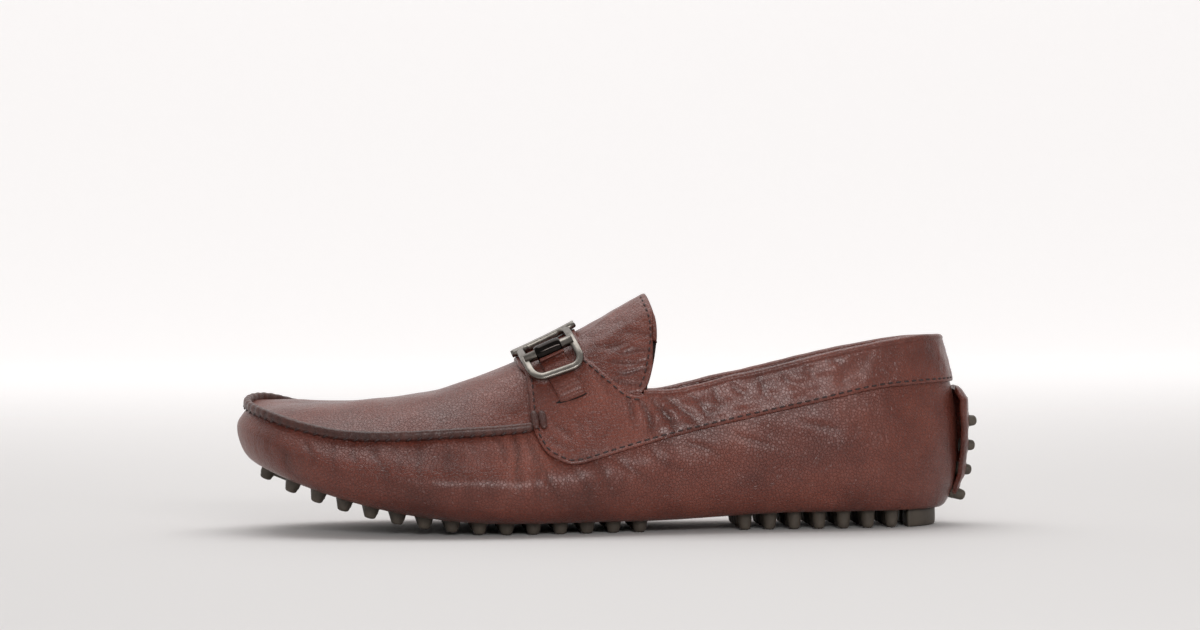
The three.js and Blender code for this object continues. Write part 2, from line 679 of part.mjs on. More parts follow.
// A frame on the instep: x along the shoe, y up its side, z away from it.
function seat(side) {
  const station = side === OUTER ? OUTER_RING_STATION : -INNER_RING_STATION;
  const at = (ds, dt) => skinPoint(station + ds, TOP, RING_SEAT + dt);
  const lengthwise = at(0.02, 0).sub(at(-0.02, 0)).normalize();
  const outward = lengthwise.clone().cross(at(0, 0.02).sub(at(0, -0.02))).normalize();
  const upward = outward.clone().cross(lengthwise);
  return new THREE.Matrix4().makeBasis(lengthwise, upward, outward).setPosition(at(0, 0));
}

function ringShape(length, drop, r) {
  const [x, y] = [length / 2 - r, drop / 2 - r];
  const outline = new THREE.Shape();
  outline.moveTo(-x, -y - r);
  outline.absarc(x, -y, r, -Math.PI / 2, 0);
  outline.absarc(x, y, r, 0, Math.PI / 2);
  outline.absarc(-x, y, r, Math.PI / 2, Math.PI);
  outline.absarc(-x, -y, r, Math.PI, Math.PI * 1.5);
  return outline;
}

// How far the metal's inner face stands off the upper: close on the ridge, over the straps below.
const metalLift = (place) =>
  GAP + OVERLAY + METAL_CLEAR +
  (GAP + STRAP) * THREE.MathUtils.smoothstep(Math.abs(place.y), ball(0.08), ball(0.22));

// The outline of one side's ring with its longer upper bar, as a block through the metal.
function ringBlock(side) {
  const outline = ringShape(RING_LENGTH, RING_DROP, RING_CORNER);
  const bars = 2 * RING_BAR;
  outline.holes.push(ringShape(RING_LENGTH - bars, RING_DROP - bars, RING_CORNER - RING_BAR));
  const depth = RING_DROP;
  const options = { depth, bevelEnabled: false, curveSegments: 4 };
  const flat = new THREE.ExtrudeGeometry(outline, options).translate(0, 0, -depth / 3);
  const bar = new THREE.BoxGeometry(TOP_BAR_LENGTH, RING_BAR, depth);
  bar.translate(0, TOP_BAR, depth / 6);
  return union([flat, bar].map((block) => solidOf(block.applyMatrix4(seat(side)))));
}

function axle(side) {
  const radius = ROLLER_RADIUS - ROLLER_WALL - GAP;
  const rod = new THREE.CylinderGeometry(radius, radius, RING_LENGTH - RING_BAR, 12);
  return solidOf(rod.rotateZ(Math.PI / 2).translate(0, AXLE, AXLE_LIFT).applyMatrix4(seat(side)));
}

// The two links follow the instep over the ridge, between the ends of the upper bars.
function linkBlocks() {
  const [outer, inner] = [OUTER, INNER].map((side) =>
    new THREE.Vector3(0, TOP_BAR, metalLift({ y: 0 })).applyMatrix4(seat(side)),
  );
  const middle = outer.clone().add(inner).divideScalar(2);
  const slope = Math.atan((crest(middle.x + 8) - crest(middle.x - 8)) / 16);
  const spread = (TOP_BAR_LENGTH - LINK_WIDTH) / 2;
  return [-spread, spread].map((x) => {
    const slice = new THREE.BoxGeometry(LINK_WIDTH, inner.y - outer.y, RING_LENGTH);
    slice.translate(x, middle.y, 0).rotateY(-slope);
    return solidOf(slice.translate(middle.x, 0, middle.z));
  });
}

function ornament() {
  const band = form((place) => metalLift(place) + RING_THICK).subtract(form(metalLift));
  const metal = band.intersect(union([ringBlock(OUTER), ringBlock(INNER), ...linkBlocks()]));
  return union([metal, axle(OUTER), axle(INNER)]);
}

function roller(side) {
  const half = ROLLER_LENGTH / 2;
  const bore = ROLLER_RADIUS - ROLLER_WALL;
  const profile = [
    [bore, -half],
    [ROLLER_RADIUS * 0.86, -half],
    [ROLLER_RADIUS, -half * 0.7],
    [ROLLER_RADIUS, half * 0.7],
    [ROLLER_RADIUS * 0.86, half],
    [bore, half],
    [bore, -half],
  ];
  const tube = new THREE.LatheGeometry(vectors(profile), 14).rotateZ(Math.PI / 2);
  return solidOf(tube.translate(0, AXLE, AXLE_LIFT).applyMatrix4(seat(side)));
}

// A strap follows the saddle from under the roller, beneath the ring's lower bar, to its slot.
function strap(side) {
  const head = AXLE - ROLLER_RADIUS - GAP;
  const start = new THREE.Vector3(0, head, 0).applyMatrix4(seat(side));
  const top = new THREE.Vector2(start.x, start.z);
  const foot = new THREE.Vector2(along(0.4555), fore(0.765));
  const half = foot.clone().sub(top).normalize().rotateAround({ x: 0, y: 0 }, Math.PI / 2);
  half.multiplyScalar(STRAP_WIDTH / 2);
  const corners = [top.clone().add(half), top.sub(half), foot.clone().sub(half), foot.add(half)];
  const lift = 2 * GAP + OVERLAY;
  const halfShoe = sidePrism(new THREE.Shape(corners), 1).translate(0, (-side * FAR) / 2, 0);
  return form(lift + STRAP).subtract(form(lift)).intersect(solidOf(halfShoe));
}

// ---------------------------------------------------------------- the assembly

const finish = (color, roughness, metalness = 0) =>
  new THREE.MeshStandardMaterial({ color, roughness, metalness });
const wrapLeather = () => finish(0x5a3029, 0.42);
const saddleLeather = () => finish(0x603630, 0.4);
const seamLeather = () => finish(0x4a2a26, 0.5);
const rubber = () => finish(0x4a4039, 0.75);
const lining = () => finish(0x33231e, 0.8);
const gunmetal = () => finish(0x8d857e, 0.25, 1);

const shoe = new THREE.Group();
for (const [name, solid, material] of [
  ["upper", upper(), wrapLeather()],
  ["tongue", tongue(), saddleLeather()],
  ["saddle", saddle(), saddleLeather()],
  ["moccasin_seam", moccasinSeam(), seamLeather()],
  ["insole", insole(), lining()],
  ["toe_sole", toeSole(), rubber()],
  ["forefoot_sole", forefootSole(), rubber()],
  ["heel_sole", heelSole(), rubber()],
  ["heel_patch", heelPatch(), wrapLeather()],
  ["back_pebbles", backPebbles(), rubber()],
  ["ornament", ornament(), gunmetal()],
  ["roller_outer", roller(OUTER), gunmetal()],
  ["roller_inner", roller(INNER), gunmetal()],
  ["strap_outer", strap(OUTER), saddleLeather()],
  ["strap_inner", strap(INNER), saddleLeather()],
]) {
  const mesh = new THREE.Mesh(geometryOf(solid), material);
  mesh.name = name;
  shoe.add(mesh);
}

export default shoe;
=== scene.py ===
# %% [markdown]
# # A leather driving moccasin, left shoe
# The shoe is a supple leather wrap drawn up round the foot and sewn to an apron with a raised seam.
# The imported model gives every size. This script dresses it, piece by piece, in the same frame:
# metres outside, and millimetres in the sums, because that is how a shoemaker thinks.

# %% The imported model
import math
import bmesh
import bpy
import numpy as np
from mathutils import Matrix, Vector


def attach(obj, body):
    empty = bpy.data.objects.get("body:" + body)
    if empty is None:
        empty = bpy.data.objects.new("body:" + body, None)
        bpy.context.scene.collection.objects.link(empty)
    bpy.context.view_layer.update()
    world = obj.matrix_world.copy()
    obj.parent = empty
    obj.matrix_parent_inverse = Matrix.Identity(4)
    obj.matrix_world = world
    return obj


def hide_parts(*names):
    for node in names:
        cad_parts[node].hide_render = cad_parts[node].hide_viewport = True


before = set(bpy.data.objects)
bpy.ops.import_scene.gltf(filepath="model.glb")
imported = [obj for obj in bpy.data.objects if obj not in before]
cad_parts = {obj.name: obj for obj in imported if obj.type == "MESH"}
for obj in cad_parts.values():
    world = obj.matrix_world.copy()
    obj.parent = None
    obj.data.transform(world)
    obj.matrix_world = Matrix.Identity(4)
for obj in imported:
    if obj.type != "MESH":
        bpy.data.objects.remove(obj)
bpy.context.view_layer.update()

MM = 0.001

# %% [markdown]
# ## The last
# Every leather piece lies on one form, the last, so one function of two parameters gives them all.
# The first parameter runs round the shoe through sixteen stations, and the second climbs a section
# in four stretches: bottom, flank, wall and top. Splines between stations keep the curvature even,
# which matters because glossy leather shows every kink in its highlights.

# %% Sizes and the stations round the last
LENGTH, BALL_WIDTH, HEEL_WIDTH = 282, 100, 68
BACK_HEIGHT, INSTEP_HEIGHT, TONGUE_HEIGHT = 73, 67, 91.5
WALL, OVERLAY, GAP = 1.8, 1.2, 0.3
SADDLE_LIFT = GAP + OVERLAY
TOE_X = -144.7
FAR = 400


def along(share):
    """A place along the shoe, as a share of its length from the toe."""
    return TOE_X + share * LENGTH


def back(share):
    """A height at the back, as a share of the back seam's."""
    return share * BACK_HEIGHT


def fore(share):
    """A height in front, as a share of the instep's."""
    return share * INSTEP_HEIGHT


# feather x, y; breadth x, y, z; shoulder x, y, z; wall and top angles; x of the middle line
STATIONS = np.array([
    [.026, .06, 0, .06, .604, .014, .06, .724, 74, 8, .1],
    [.064, -.155, .042, -.22, .522, .055, -.185, .652, 70, 16, .13],
    [.16, -.31, .142, -.41, .373, .155, -.325, .561, 62, 32, .2],
    [.3, -.37, .287, -.5, .272, .3, -.37, .573, 58, 42, .31],
    [.443, -.36, .443, -.472, .266, .448, -.35, .634, 62, 60, .448],
    [.613, -.4, .613, -.565, .275, .617, -.47, .757, 76, 74, .61],
    [.784, -.37, .784, -.5, .315, .784, -.42, .904, 82, 82, .775],
    [.916, -.29, .929, -.38, .365, .924, -.3, 1.004, 82, 82, .88],
    [.974, 0, 1, 0, .46, .974, 0, 1, 76, 76, .925],
    [.916, .29, .929, .38, .365, .924, .3, 1.004, 82, 82, .88],
    [.777, .34, .777, .485, .325, .777, .41, .9, 82, 82, .775],
    [.599, .28, .599, .47, .305, .605, .43, .752, 76, 74, .61],
    [.422, .28, .422, .42, .29, .436, .31, .665, 64, 60, .448],
    [.28, .36, .266, .5, .3, .287, .36, .625, 60, 42, .31],
    [.14, .34, .117, .44, .41, .131, .355, .657, 64, 28, .2],
    [.052, .225, .028, .28, .537, .044, .25, .741, 71, 12, .13],
])
at_heel = ((np.arange(16) >= 5) & (np.arange(16) <= 11))[:, None]
stations = STATIONS.copy()
stations[:, [0, 2, 5, 10]] = along(STATIONS[:, [0, 2, 5, 10]])
stations[:, [1, 3, 6]] *= np.where(at_heel, HEEL_WIDTH, BALL_WIDTH)
stations[:, [4, 7]] *= np.where(at_heel, BACK_HEIGHT, INSTEP_HEIGHT)
stations[:, 8:10] = np.radians(STATIONS[:, 8:10])


# %% Splines
def loop_bend(values):
    """Second derivatives of the closed cubic spline through evenly spaced rows of values."""
    n = len(values)
    system = 4 * np.eye(n) + np.roll(np.eye(n), 1, 0) + np.roll(np.eye(n), -1, 0)
    second = np.roll(values, 1, 0) - 2 * values + np.roll(values, -1, 0)
    return np.linalg.solve(system, 6 * second)


station_bend = loop_bend(stations)


def station(s):
    """The eleven station values at s: both neighbours in proportion, plus the spline's pull."""
    i = np.floor(s).astype(int)
    b = (s - i)[..., None]
    a = 1 - b
    i, j = i % 16, (i + 1) % 16
    pull = (a**3 - a) * station_bend[i] + (b**3 - b) * station_bend[j]
    return a * stations[i] + b * stations[j] + pull / 6


def line_curve(knots):
    """A natural cubic spline z(x) through (x, z) knots; its end cubics carry on outside them."""
    x, z = np.array(knots, float).T
    h = np.diff(x)
    n = len(x)
    system = np.eye(n)
    known = np.zeros(n)
    for i in range(1, n - 1):
        system[i, i - 1:i + 2] = h[i - 1], 2 * (h[i - 1] + h[i]), h[i]
        known[i] = 6 * ((z[i + 1] - z[i]) / h[i] - (z[i] - z[i - 1]) / h[i - 1])
    bend = np.linalg.solve(system, known)

    def curve(at):
        """Both neighbouring knots in proportion, plus the spline's pull."""
        i = np.clip(np.searchsorted(x, at) - 1, 0, n - 2)
        b = (at - x[i]) / h[i]
        a = 1 - b
        pull = ((a**3 - a) * bend[i] + (b**3 - b) * bend[i + 1]) * h[i] ** 2
        return a * z[i] + b * z[i + 1] + pull / 6

    return curve


def smoothstep(x, low, high):
    """From 0 at low to 1 at high, level at both ends: 3t squared minus 2t cubed."""
    t = np.clip((x - low) / (high - low), 0, 1)
    return t * t * (3 - 2 * t)


FOREFOOT_STUD, HEEL_STUD, TOE_SPRING = 4.6, 7, 21.6
SPRING_START, SPRING_END = along(0.372), along(0.025)


def keel(x):
    """Height of the flat bottom: the studs' height, a parabola up to the toe, a step to the heel."""
    toe = np.maximum(0, (SPRING_START - x) / (SPRING_START - SPRING_END))
    waist = smoothstep(x, along(0.55), along(0.78))
    return FOREFOOT_STUD + TOE_SPRING * toe**2 + (HEEL_STUD - FOREFOOT_STUD) * waist


crest = line_curve([
    (along(0.0865), fore(0.735)), (along(0.186), fore(0.757)), (along(0.286), fore(0.826)),
    (along(0.369), fore(0.952)), (along(0.469), (INSTEP_HEIGHT + TONGUE_HEIGHT) / 2 - fore(0.03)),
    (along(0.562), TONGUE_HEIGHT + back(0.006)), (along(0.72), TONGUE_HEIGHT + back(0.2)),
    (along(0.92), TONGUE_HEIGHT + back(0.12)),
])


# %% The skin of the last
def stack(x, y, z):
    """Points from three arrays of coordinates."""
    return np.stack(np.broadcast_arrays(x, y, z), -1)


UP = np.array([0, 0, 1.0])
ARC = 0.55  # handle length that makes a cubic curve follow a quarter circle


def skin(s, v):
    """A point of the last: at station s, a cubic Bezier curve in each of the four stretches of v.

    0 to 1 is the flat bottom, 1 to 2 the flank, 2 to 3 the wall, 3 to 4 the top.
    """
    s, v = np.broadcast_arrays(np.asarray(s, float), np.asarray(v, float))
    fx, fy, bx, by, bz, ex, ey, ez, wall, top, mx = np.moveaxis(station(s), -1, 0)
    my = (by + station(-s)[..., 3]) / 2
    feather, side, edge = stack(fx, fy, keel(fx)), stack(bx, by, bz), stack(ex, ey, ez)
    bottom, ridge = stack(mx, my, keel(mx)), stack(mx, my, crest(mx))
    out = stack((bx - fx) * ARC, (by - fy) * ARC, 0)
    reach = np.hypot(mx - ex, my - ey)
    inward = stack((mx - ex) / reach, (my - ey) / reach, 0)
    rise = (ez - bz)[..., None]

    def climb(angle):
        """Inwards and up, at an angle from the floor."""
        return inward * np.cos(angle)[..., None] + UP * np.sin(angle)[..., None]

    handle = 0.3 * np.hypot(reach, ridge[..., 2] - ez)[..., None]
    before = ridge - 0.5 * reach[..., None] * inward
    before[..., 2] = crest(before[..., 0])
    under = feather + out
    under[..., 2] = keel(under[..., 0])
    curves = (
        (bottom, bottom + (feather - bottom) / 3, bottom + (feather - bottom) / 1.5, feather),
        (feather, under, side - ARC * UP * (bz - feather[..., 2])[..., None], side),
        (side, side + 0.4 * rise * UP, edge - 0.4 * rise * climb(wall), edge),
        (edge, edge + handle * climb(top), before, ridge),
    )
    which = np.clip(np.floor(v).astype(int), 0, 3)
    t = (v - which)[..., None]
    weights = ((1 - t) ** 3, 3 * t * (1 - t) ** 2, 3 * t * t * (1 - t), t**3)
    point = sum(
        w * np.choose(which[..., None], [curve[k] for curve in curves])
        for k, w in enumerate(weights)
    )
    point[..., 2] = np.where(which == 0, keel(point[..., 0]), point[..., 2])
    return point


def unit(a):
    """Directions of length one."""
    return a / np.maximum(np.linalg.norm(a, axis=-1, keepdims=True), 1e-9)


STEP = 0.01  # of a station or a stretch


def outward(s, v):
    """The skin's normal: the cross product of its slopes along s and v, by small differences.

    On the two middle lines the sides meet, so there it is the mean of both.
    """
    def one(s, v):
        """The normal from the slopes on this side alone."""
        along_s = skin(s + STEP, v) - skin(s - STEP, v)
        along_v = skin(s, np.minimum(v + STEP, 4)) - skin(s, np.maximum(v - STEP, 0))
        return unit(np.cross(along_s, along_v))

    s, v = np.broadcast_arrays(np.asarray(s, float), np.asarray(v, float))
    n = one(s, v)
    on_middle = ((v < 1e-6) | (v > 4 - 1e-6))[..., None]
    return np.where(on_middle, unit(n + one(-s, v)), n)


def lifted(s, v, lift):
    """The skin, moved out along its normal."""
    return skin(s, v) + outward(s, v) * np.asarray(lift)[..., None]


# %% The length over the leather
print("over the leather, mm:", np.round(skin(8, 2) - skin(0, 2), 1)[0])


# %% [markdown]
# ## Outlines
# A shoemaker cuts flat patterns. Here each edge is an outline seen from the side, and a piece is
# what the skin keeps inside it. A signed distance to the outline does this well: it says on which
# side of the edge a point lies, and how far, which also says where the edge rounds off.

# %% Outlines seen from the side, as (x, z)
def through(points, steps=6):
    """A Catmull-Rom curve through points: each span starts and ends along its neighbours' chord."""
    p = np.array(points, float)
    p = np.concatenate([p[:1], p, p[-1:]])
    t = (np.arange(steps) / steps)[None, :, None]
    p0, p1, p2, p3 = (p[k:len(p) - 3 + k][:, None] for k in range(4))
    a, b = (p2 - p0) / 2, (p3 - p1) / 2
    spans = (2 * p1 - 2 * p2 + a + b) * t**3 + (3 * p2 - 3 * p1 - 2 * a - b) * t**2
    spans = spans + a * t + p1
    return np.concatenate([spans.reshape(-1, p.shape[1]), p[-1:]])


# The opening: the collar's line from the throat to the back, and the tongue's free edge.
THROAT = (along(0.5486), back(0.718))
collar_line = through([THROAT] + [(along(x), back(z)) for x, z in (
    (.591, .721), (.629, .75), (.668, .788), (.708, .818), (.768, .873), (.8365, .932),
    (.903, .98), (.939, .998), (.972, 1))])
TONGUE_BULGE, TONGUE_TALL = LENGTH * 0.0235, TONGUE_HEIGHT - THROAT[1]
tongue_line = through([(along(0.561), TONGUE_HEIGHT)] + [
    (THROAT[0] + TONGUE_BULGE * x, THROAT[1] + TONGUE_TALL * z)
    for x, z in ((.68, .93), (.95, .76), (1, .6), (.9, .46), (.72, .3), (.42, .12), (0, 0))
])
opening = np.concatenate([
    collar_line, [(FAR, back(1)), (FAR, FAR), (along(0.5), FAR)],
    [(along(0.53), TONGUE_HEIGHT + back(0.1))], tongue_line[:-1],
])

# %% The saddle's edges
tongue_seam = through([(along(.465), 95)] + [(along(x), fore(z)) for x, z in (
    (.466, 1.15), (.468, 1.095), (.474, 1.009), (.489, .951), (.513, .861))]
    + [(along(.532), THROAT[1] + back(.012)), THROAT])
# Behind that seam the saddle ends, but just over the throat it runs on to the collar.
OVER_THROAT = 1.4
behind_seam = np.concatenate([
    tongue_seam, [(THROAT[0] + 1, THROAT[1] + OVER_THROAT), (THROAT[0] + 9, THROAT[1] + OVER_THROAT)],
    [(THROAT[0] + 28, FAR), (along(0.465), FAR)],
])
saddle_front = through([(along(.378), 95)] + [(along(x), fore(z)) for x, z in (
    (.383, .985), (.3945, .888), (.397, .681), (.402, .569))])
saddle_seam = through([(along(x), fore(z)) for x, z in (
    (.402, .569), (.415, .473), (.436, .421), (.452, .405), (.473, .42),
)] + [(along(x), back(z)) for x, z in (
    (.5195, .437), (.6, .52), (.7075, .612), (.787, .676), (.867, .742), (.934, .767), (.99, .771))])
saddle_outline = np.concatenate([
    saddle_front[:-1], saddle_seam, [(FAR, back(0.771)), (FAR, FAR), (along(0.378), FAR)],
])


# %% Distances in the side view
TILT = math.radians(2)  # the collar falls that much to the inner side


def side_view(p, tilt=0.0):
    """(x, z) of points, with the height read off a floor that is tilted sideways."""
    return np.stack([p[..., 0], p[..., 2] * math.cos(tilt) + p[..., 1] * math.sin(tilt)], -1)


def inside(outline, q):
    """Distance from points q to an outline: the nearest of its edges, and minus when outside."""
    near = np.full(q.shape[:-1], 1e9)
    within = np.zeros(q.shape[:-1], bool)
    for a, b in zip(outline, np.roll(outline, -1, 0)):
        edge = b - a
        size = edge @ edge
        if size < 1e-9:
            continue
        share = np.clip(((q - a) @ edge) / size, 0, 1)[..., None]
        near = np.minimum(near, ((q - a - share * edge) ** 2).sum(-1))
        crosses = (a[1] > q[..., 1]) != (b[1] > q[..., 1])
        if a[1] != b[1]:
            left = q[..., 0] < a[0] + (q[..., 1] - a[1]) * edge[0] / edge[1]
            within ^= crosses & left
    return np.sqrt(near) * np.where(within, 1, -1)


# %% [markdown]
# ## From numbers to a mesh
# Blender takes whole arrays at once, so a mesh is made from arrays of points and faces. How deep a
# crease runs is stored on the points, because the leather reads it for painted shade in its troughs
# and a painted highlight on their ridges.

# %% Meshes from arrays
def add_mesh(name, points, faces, slot, material, merge=0.0, depth=None):
    """One object of points in mm; faces is a list of index arrays, each with one row per face.

    merge joins points closer than that many mm, and depth is the crease at each point.
    """
    mesh = bpy.data.meshes.new(name)
    mesh.from_pydata(
        (np.asarray(points).reshape(-1, 3) * MM).tolist(), [],
        [row for block in faces for row in np.asarray(block).tolist()],
    )
    if depth is not None:
        layer = mesh.attributes.new("crease", "FLOAT", "POINT")
        layer.data.foreach_set("value", np.asarray(depth, np.float32).ravel())
    if merge:
        work = bmesh.new()
        work.from_mesh(mesh)
        bmesh.ops.remove_doubles(work, verts=work.verts, dist=merge * MM)
        bmesh.ops.dissolve_degenerate(work, edges=work.edges, dist=1e-7)
        work.to_mesh(mesh)
        work.free()
    mesh.polygons.foreach_set("use_smooth", [True] * len(mesh.polygons))
    mesh.materials.append(material)
    piece = bpy.data.objects.new(name, mesh)
    bpy.context.scene.collection.objects.link(piece)
    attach(piece, "root")
    print(f"{name}: {len(mesh.vertices)} points, {len(mesh.polygons)} faces")
    return piece


def index_grid(rows, columns):
    """Row and column numbers of a grid."""
    return np.meshgrid(np.arange(rows), np.arange(columns), indexing="ij")


def grid_faces(rows, columns, close_rows=False, close_columns=False):
    """Quads of a grid of points, row by row, joined round either way."""
    i, j = index_grid(rows - (not close_rows), columns - (not close_columns))
    i2, j2 = (i + 1) % rows, (j + 1) % columns
    corners = (i * columns + j, i2 * columns + j, i2 * columns + j2, i * columns + j2)
    return np.stack(corners, -1).reshape(-1, 4)


def rim(piece, depth):
    """The cut edge of the leather: a wall of that depth, in mm, along the open edges only."""
    wall = piece.modifiers.new("cut edge", "SOLIDIFY")
    wall.thickness = depth * MM
    wall.offset = -1
    wall.use_rim_only = True
    return piece


def joined(parts):
    """Several (points, faces) as one."""
    shift, points, faces = 0, [], []
    for p, f in parts:
        points.append(p)
        faces += [np.asarray(block) + shift for block in f]
        shift += len(p)
    return np.concatenate(points), faces


# %% Cutting a piece from the skin
PROBE = 0.05  # of a cell, to measure a slope


def cut_skin(s, v, keep, lift, loop=False):
    """The part of a skin grid where keep(points) > 0, with its border moved onto the edge.

    A point just outside moves to where the distance passes zero between it and its inner
    neighbours, then two Newton steps bring it onto the edge. Cells that lose one corner become
    triangles. lift(points, distance) gives the height over the skin. It gives the points, their
    faces and the points on the bare skin.
    """
    n, m = len(s), len(v)
    i, j = index_grid(n, m)

    def where(a, b):
        """(s, v) at a place counted in columns and rows of the grid."""
        return s[0] + a * (s[1] - s[0]), np.interp(b, np.arange(m), v)

    def distance(a, b):
        """How far inside the piece's edge that place is."""
        return keep(skin(*where(a, b)))

    f = distance(i, j)
    kept = f > 0
    total, count = np.zeros((n, m, 2)), np.zeros((n, m))
    for di, dj in ((1, 0), (-1, 0), (0, 1), (0, -1)):
        next_f, next_kept = np.roll(f, (-di, -dj), (0, 1)), np.roll(kept, (-di, -dj), (0, 1))
        real = np.ones((n, m), bool)
        if dj:
            real[:, -1 if dj > 0 else 0] = False
        elif not loop:
            real[-1 if di > 0 else 0] = False
        pair = real & next_kept & ~kept
        t = np.where(pair, next_f / np.maximum(next_f - f, 1e-9), 0)
        total += np.where(pair[..., None], np.stack([i + di * (1 - t), j + dj * (1 - t)], -1), 0)
        count += pair
    border = count > 0
    a, b = i.astype(float), j.astype(float)
    ba, bb = (total[border] / count[border][:, None]).T
    for _ in range(2):
        f0 = distance(ba, bb)
        slope_a = (distance(ba + PROBE, bb) - f0) / PROBE
        slope_b = (distance(ba, bb + PROBE) - f0) / PROBE
        steep = np.maximum(slope_a**2 + slope_b**2, 1e-6)
        ba = ba - np.clip(f0 * slope_a / steep, -0.5, 0.5)
        bb = np.clip(bb - np.clip(f0 * slope_b / steep, -0.5, 0.5), 0, m - 1)
    a[border], b[border] = ba, bb
    used = kept | border
    number = np.cumsum(used.ravel()).reshape(n, m) - 1
    i2 = (i + 1) % n
    cells = np.s_[:n if loop else n - 1, :m - 1]
    j2 = np.minimum(j + 1, m - 1)
    corner = [(i, j), (i2, j), (i2, j2), (i, j2)]
    on = np.stack([used[c] for c in corner], -1)[cells]
    deep = np.stack([kept[c] for c in corner], -1)[cells].any(-1)
    index = np.stack([number[c] for c in corner], -1)[cells]
    faces = [index[on.all(-1) & deep]]
    for k in range(4):
        three = (on.sum(-1) == 3) & ~on[..., k] & deep
        faces.append(np.delete(index[three], k, axis=-1))
    sv = where(a[used], b[used])
    edge = np.where(border[used], 0, f[used])
    base = skin(*sv)
    return lifted(*sv, lift(base, edge)), faces, base


def rows(*counts):
    """Evenly spaced values of v in each of the four stretches."""
    parts = [k + np.arange(c) / c for k, c in enumerate(counts) if c]
    return np.concatenate(parts + [[len(counts)]])


# %% [markdown]
# ## Creases
# Leather folds where the foot bends it and puckers where a longer edge is sewn to a shorter one.
# The main creases are listed as lines in the side view with a width and a depth: each is
# a soft trough with a low ridge on both sides. Modelled creases catch the light from every side.

# %% Creases as troughs with raised sides
WRAP_CREASES = [  # x, z, x, z, width, depth
    (-40, 39, -37, 18, 1.5, .75), (-47, 38.5, -41, 25, 1.3, .5), (-34.5, 37, -30, 15, 1.3, .65),
    (-31, 33, -23, 13, 1.4, .6), (-66, 37, -64.5, 25, 1.4, .4), (-77, 35, -74, 20, 1.6, .5),
    (-93, 35, -88, 21, 1.6, .5), (-85, 35, -83, 25, 1.3, .35), (-127, 33, -124.5, 25, 1.2, .4),
    (-117.6, 36, -116, 27, 1.2, .45), (-109, 36, -107, 26, 1.2, .4), (-101, 36, -99, 27, 1.3, .4),
    (-133, 37, -131, 30, 1, .3), (-56, 38, -54, 29, 1.2, .3), (-16, 25, -10, 12, 1.5, .45),
    (-8, 27, 0, 14, 1.6, .4), (1, 30, 12, 19, 1.5, .45), (12, 33, 26, 23, 1.4, .4),
    (27, 36, 43, 27, 1.3, .35), (45, 39, 62, 31, 1.2, .3), (70, 44, 88, 37, 1.4, .3),
]
SADDLE_CREASES = [
    (4, 51, 7.5, 42, 1.4, .8), (9, 51, 14, 38, 1.5, .9), (14.5, 51, 23, 37, 1.5, .8),
    (20, 52, 31, 41, 1.3, .55), (28, 53.5, 36, 44, 1.2, .5), (-16, 44, -12, 34, 1.1, .35),
    (-23, 42, -17, 34, 1.1, .4), (-10, 43, -9, 34, 1, .3), (-3, 41, -7, 34, 1, .3),
    (-26, 36, -17, 32, 1, .35), (36, 57, 41, 49, 1.2, .45), (44, 59, 50, 51, 1.2, .45),
    (53, 61, 58, 53, 1.2, .4), (62, 63, 69, 56, 1.3, .4), (72, 65, 77, 59, 1.2, .35),
    (83, 68, 88, 62, 1.3, .3), (-8, 62, 0, 52, 1.6, .35),
]
TONGUE_CREASES = [
    (-2, 58, 10, 57.5, 1.1, .55), (1, 61.5, 14, 62.5, 1.2, .6), (-1, 65, 15, 66.5, 1.1, .5),
    (3, 68.5, 16, 70.5, 1.2, .5), (-8, 70, 6, 74, 1.5, .35), (4, 76, 17, 77, 1.4, .3),
]


def creases(p, lines, shift=0.0):
    """Troughs along lines in the side view: a bell across each line, minus a wider, lower bell.

    The inner side wears the same set moved along by shift, so that the sides differ.
    """
    q = side_view(p)
    q = np.stack([q[..., 0] - np.where(p[..., 1] > 0, shift, 0), q[..., 1]], -1)
    height = np.zeros(q.shape[:-1])
    for x0, z0, x1, z1, width, depth in lines:
        a, edge = np.array([x0, z0]), np.array([x1 - x0, z1 - z0])
        share = ((q - a) @ edge) / (edge @ edge)
        bend = 0.6 * width * np.sin(4.5 * share + x0)
        across = np.array([-edge[1], edge[0]]) / np.hypot(*edge)
        d = ((q - a) @ across + bend) / width
        fade = smoothstep(share, -0.25, 0.2) * (1 - smoothstep(share, 0.55, 1.25))
        height += depth * fade * (0.55 * np.exp(-((d / 2.1) ** 2)) - 1.3 * np.exp(-(d**2)))
    return height


WAVES, ROUNDS = 14, 10  # how many waves make a ripple, and how many steps find a place


def ripple(p, seed, size):
    """Soft unevenness between -1 and 1: sine waves of mixed directions, about size mm long."""
    random = np.random.default_rng(seed)
    heading = unit(random.normal(size=(WAVES, 3)))
    wave = heading * 2 * np.pi / (size * random.uniform(0.7, 1.6, (WAVES, 1)))
    phase = random.uniform(0, 2 * np.pi, WAVES)
    return np.sin(p @ wave.T + phase).sum(-1) / math.sqrt(WAVES)


# %% [markdown]
# ## Materials
# The leather is drum-dyed calf with a light polish: a warm dark brown whose fine pebble grain
# breaks a highlight into sparkles. Grain is far finer than the mesh, so it is a bump in the
# material, with its size in real millimetres.

# %% Nodes and colours
CLOUD, WRINKLE, WRINKLE_DEPTH = 0.026, 0.0035, 0.0005  # metres: shade patches and fine folds
BROWN = ("#5a2a20", "#70382c", "#804436")


def colour(code):
    """sRGB hex to the linear colour that a shader expects."""
    parts = np.array([int(code[k:k + 2], 16) / 255 for k in (1, 3, 5)])
    linear = np.where(parts <= 0.04045, parts / 12.92, ((parts + 0.055) / 1.055) ** 2.4)
    return (*linear.tolist(), 1.0)


def node(material, kind, links=None, **settings):
    """Add a node, set its properties or plain inputs, and link inputs from other sockets."""
    made = material.node_tree.nodes.new("ShaderNode" + kind)
    for key, value in settings.items():
        if hasattr(made, key):
            setattr(made, key, value)
        else:
            made.inputs[key.replace("_", " ")].default_value = value
    for key, socket in (links or {}).items():
        material.node_tree.links.new(socket, made.inputs[key])
    return made


